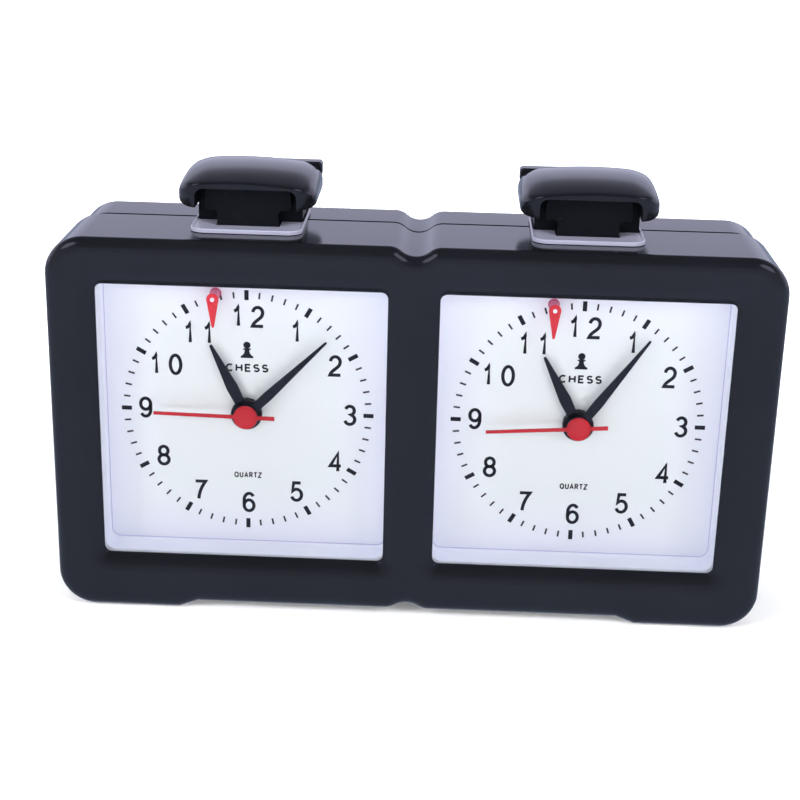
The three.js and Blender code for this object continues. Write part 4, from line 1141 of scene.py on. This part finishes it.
def setting_knob(name):
    at = KNOB_AT[name]
    body = f"setting_knob_{name}"
    builder = Builder()
    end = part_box(body)[1].y / MM - DEPTH_SHIFT
    # (radius, distance from the knob's back, depth of its flutes)
    profile = [(7.6, 4.8, 0), (8, 4.4, 0.35), (8, 0.7, 0.35), (7.85, 0.25, 0.3), (7.4, 0, 0.1)]
    profile += [(6.3, 0, 0), (6.05, 0.2, 0), (5.9, 1.1, 0), (5.6, 1.2, 0)]
    rings = [builder.face_ring(fluted(r, flute, at), end - y) for r, y, flute in profile]
    builder.bridge(*rings)
    builder.fill(rings[-1])
    bore = circle(0.85, at, 24)
    bores = [builder.face_ring(bore, end - depth) for depth in (4.8, 3)]
    builder.bridge(*bores)
    builder.cap(bores[1])
    builder.fill(rings[0], bores[0])
    builder.finish(f"knob_{name}", "knob_black", body, [body])
    grip = rounded_box(at[0] - 5.9, at[0] + 5.9, at[1] - 0.9, at[1] + 0.9, 0.6, 4)
    slab(f"knob_grip_{name}", grip, end - 0.2, end - 1.5, 0.3, "knob_black", body)


DOOR_GAP = 0.3


def battery_door(name):
    x = DIAL_AT[name][0]
    body = f"battery_door_{name}"
    half = BAY["half"] - DOOR_GAP
    low, high = BAY["low"] + DOOR_GAP, BAY["high"] - DOOR_GAP
    outline = rounded_box(x - half, x + half, low, high, 1.5, 5)
    slab(f"door_{name}", outline, 32.2, 30.5, 0.25, "case_black", body, replaces=[body])
    ribs = Builder()
    for i in range(5):
        at = x + half - 4 - 1.6 * i
        add_stroke(ribs, [(at, low + 3.7), (at, high - 3.7)], 0.8, 32, 32.4)
    ribs.finish(f"door_ribs_{name}", "case_black", body)
    tip = (x + half - 13.5, (low + high) / 2)
    arrow = [(tip[0], tip[1] - 2), (tip[0], tip[1] + 2), (tip[0] - 3, tip[1])]
    slab(f"door_arrow_{name}", arrow, 32.38, 32.1, 0.08, "case_black", body)


def case_screw(name):
    at = SCREW_AT[name]
    screw = lathe(
        f"screw_{name}",
        [(1.2, 2), (1.2, 24.4), (2.5, 24.4), (2.6, 24.5), (2.6, 25.6), (2.35, 26.1), (1.6, 26.35), (0, 26.4)],
        at, "steel", "case", steps=40, replaces=[f"case_screw_{name}"]
    )
    cross = [
        rounded_box(at[0] - across, at[0] + across, at[1] - up, at[1] + up, 0.15, 2)
        for across, up in ((1.5, 0.35), (0.35, 1.5))
    ]
    carve(screw, [tool_prism(outline, 27.4, 25.4, "face") for outline in cross])


front_shell()
rear_shell()
seam_lip()
for name, side in SIDES.items():
    surround(name)
    dial(name)
    flag(name)
    lens(name)
    hand("hour", HOUR_HAND, name)
    hand("minute", MINUTE_HAND, name)
    second_hand(name)
    button_cap(name, side)
    button_neck(name)
    button_wing(name, side)
    collar(name)
    setting_knob(name)
    battery_door(name)
    case_screw(name)


# ---- Stage: floor, light and camera ----

FLOOR_HALF = 6
FLOOR_IN_GLOSS = (0.34, 0.39, 0.54)
SOFT_TINT = (0.98, 0.985, 1.06)
SKY_TINT = (0.98, 1.0, 1.32)
# (height of the direction as a sine, brightness) of the light all round
SOFT_LIGHT = [(0.0, 0.9), (0.2, 1.25), (0.45, 1.2), (0.66, 0.75), (0.85, 0.2), (1.0, 0.1)]
# the same for what glossy surfaces see behind the clock
SKY_IN_GLOSS = [
    (0, 0.8), (0.3, 0.82), (0.36, 0.76), (0.42, 0.4), (0.5, 0.24), (0.6, 0.13), (0.71, 0.08), (0.85, 0.05),
    (1, 0.04),
]
# and in front of it
ROOM_IN_GLOSS = [(0, 0.27), (0.42, 0.24), (0.58, 0.13), (0.7, 0.05), (1, 0.03)]
# (direction, start and end of its edge as cosines, brightness) of soft boxes seen in glossy surfaces
SOFT_BOXES = [((side * 0.6, -0.27, 0.75), 0.95, 0.98, 1.5) for side in (-1, 1)]


def floor():
    mesh = bpy.data.meshes.new("floor")
    far = FLOOR_HALF
    mesh.from_pydata([(-far, -far, 0), (far, -far, 0), (far, far, 0), (-far, far, 0)], [], [(0, 1, 2, 3)])
    look = Look("floor")
    look.wear({
        "Base Color": look.mix(look.between(look.noise(3, 2), 0, 1), (0.90, 0.90, 0.91), (0.93, 0.93, 0.935)),
        "Roughness": 0.7,
        "Specular IOR Level": 0.1,
        "Emission Color": (1, 1, 1, 1),
        "Emission Strength": look.between(look.vector("LENGTH", look.place), 0.12, 1.0, 0.12, 0.7),
    })
    mirrored = look.node("ShaderNodeEmission", (*FLOOR_IN_GLOSS, 1), 1).outputs[0]
    glossy = look.node("ShaderNodeLightPath").outputs["Is Glossy Ray"]
    look.show(look.blend(glossy, look.shader.outputs[0], mirrored))
    mesh.materials.append(look.material)
    add_object("floor", mesh)


class Sky(Nodes):
    """The world's nodes."""

    def __init__(self):
        made = bpy.data.worlds.new("studio")
        bpy.context.scene.world = made
        made.use_nodes = True
        made.node_tree.nodes.clear()
        super().__init__(made.node_tree, "Generated")
        parts = self.node("ShaderNodeSeparateXYZ", self.place).outputs
        self.y, self.z = parts["Y"], parts["Z"]
        self.ray = self.node("ShaderNodeLightPath").outputs

    def ramp(self, stops, tint):
        """A color for each height of the direction."""
        made = self.node("ShaderNodeValToRGB", self.z)
        elements = made.color_ramp.elements
        while len(elements) < len(stops):
            elements.new(0.5)
        for element, (position, level) in zip(elements, stops):
            element.position = position
            element.color = (*[level * t for t in tint], 1)
        return made.outputs["Color"]

    def background(self, color, strength):
        return self.node("ShaderNodeBackground", color, strength).outputs[0]

    def add(self, first, second):
        return self.node("ShaderNodeAddShader", first, second).outputs[0]

    def spot(self, direction, start, end, brightness):
        """A soft box in one direction."""
        turn = self.vector("DOT_PRODUCT", self.place, Vector(direction).normalized())
        strength = self.between(turn, 0, brightness, start, end, interpolation_type="SMOOTHSTEP")
        return self.background((*SKY_TINT, 1), strength)


def world():
    """White for the camera; soft light all round; and for reflections a bright wall behind, dark above."""
    sky = Sky()
    around = sky.background(sky.ramp(SOFT_LIGHT, SOFT_TINT), sky.between(sky.y, 0.1, 1, -0.05, 0.35))
    mirrored = sky.add(
        sky.background(sky.ramp(SKY_IN_GLOSS, SKY_TINT), sky.between(sky.y, 0, 1, -0.1, 0.3)),
        sky.background(sky.ramp(ROOM_IN_GLOSS, SKY_TINT), sky.between(sky.y, 1, 0, -0.1, 0.3)),
    )
    for box in SOFT_BOXES:
        mirrored = sky.add(mirrored, sky.spot(*box))
    shown = sky.blend(sky.ray["Is Glossy Ray"], around, mirrored)
    shown = sky.blend(sky.ray["Is Camera Ray"], shown, sky.background((1, 1, 1, 1), 1.05))
    sky.node("ShaderNodeOutputWorld", shown)


def area_light(name, place, target, size, power, color=(1, 1, 1)):
    data = bpy.data.lights.new(name, "AREA")
    data.shape = "RECTANGLE"
    data.size, data.size_y = size
    data.energy = power
    data.color = color
    obj = add_object(name, data)
    obj.location = place
    obj.rotation_euler = (Vector(target) - Vector(place)).to_track_quat("-Z", "Y").to_euler()
    obj.visible_glossy = False


def lights():
    middle = (0, 0, 0.06)
    area_light("key_left", (-1.15, -0.95, 0.95), middle, (0.7, 0.9), 29.5, (0.97, 0.98, 1.0))
    area_light("key_right", (1.15, -0.95, 0.9), middle, (0.7, 0.9), 25, (0.98, 0.98, 1.0))
    area_light("front_fill", (0.0, -1.9, 0.75), middle, (1.6, 0.5), 11.5)
    area_light("top", (0.0, 0.4, 1.9), middle, (1.5, 1.0), 15)


CAMERA_PLACE = (0.0085, -0.4206, 0.2053)
CAMERA_FORWARD = (-0.0272, 0.9409, -0.3375)
CAMERA_ROLL = 0.0251
CAMERA_LENS = 73.1


def camera():
    data = bpy.data.cameras.new("camera")
    data.sensor_width = 36
    data.lens = CAMERA_LENS
    data.clip_start = 0.01
    obj = add_object("camera", data)
    forward = Vector(CAMERA_FORWARD).normalized()
    right = forward.cross(Vector((0, 0, 1))).normalized()
    up = right.cross(forward)
    rolled_right = (right + up * CAMERA_ROLL).normalized()
    rolled_up = (up - right * CAMERA_ROLL).normalized()
    turn = Matrix((rolled_right, rolled_up, -forward)).transposed().to_4x4()
    obj.matrix_world = Matrix.Translation(CAMERA_PLACE) @ turn
    bpy.context.scene.camera = obj


floor()
world()
lights()
camera()
bpy.context.scene.view_settings.view_transform = "Standard"

bpy.context.view_layer.update()
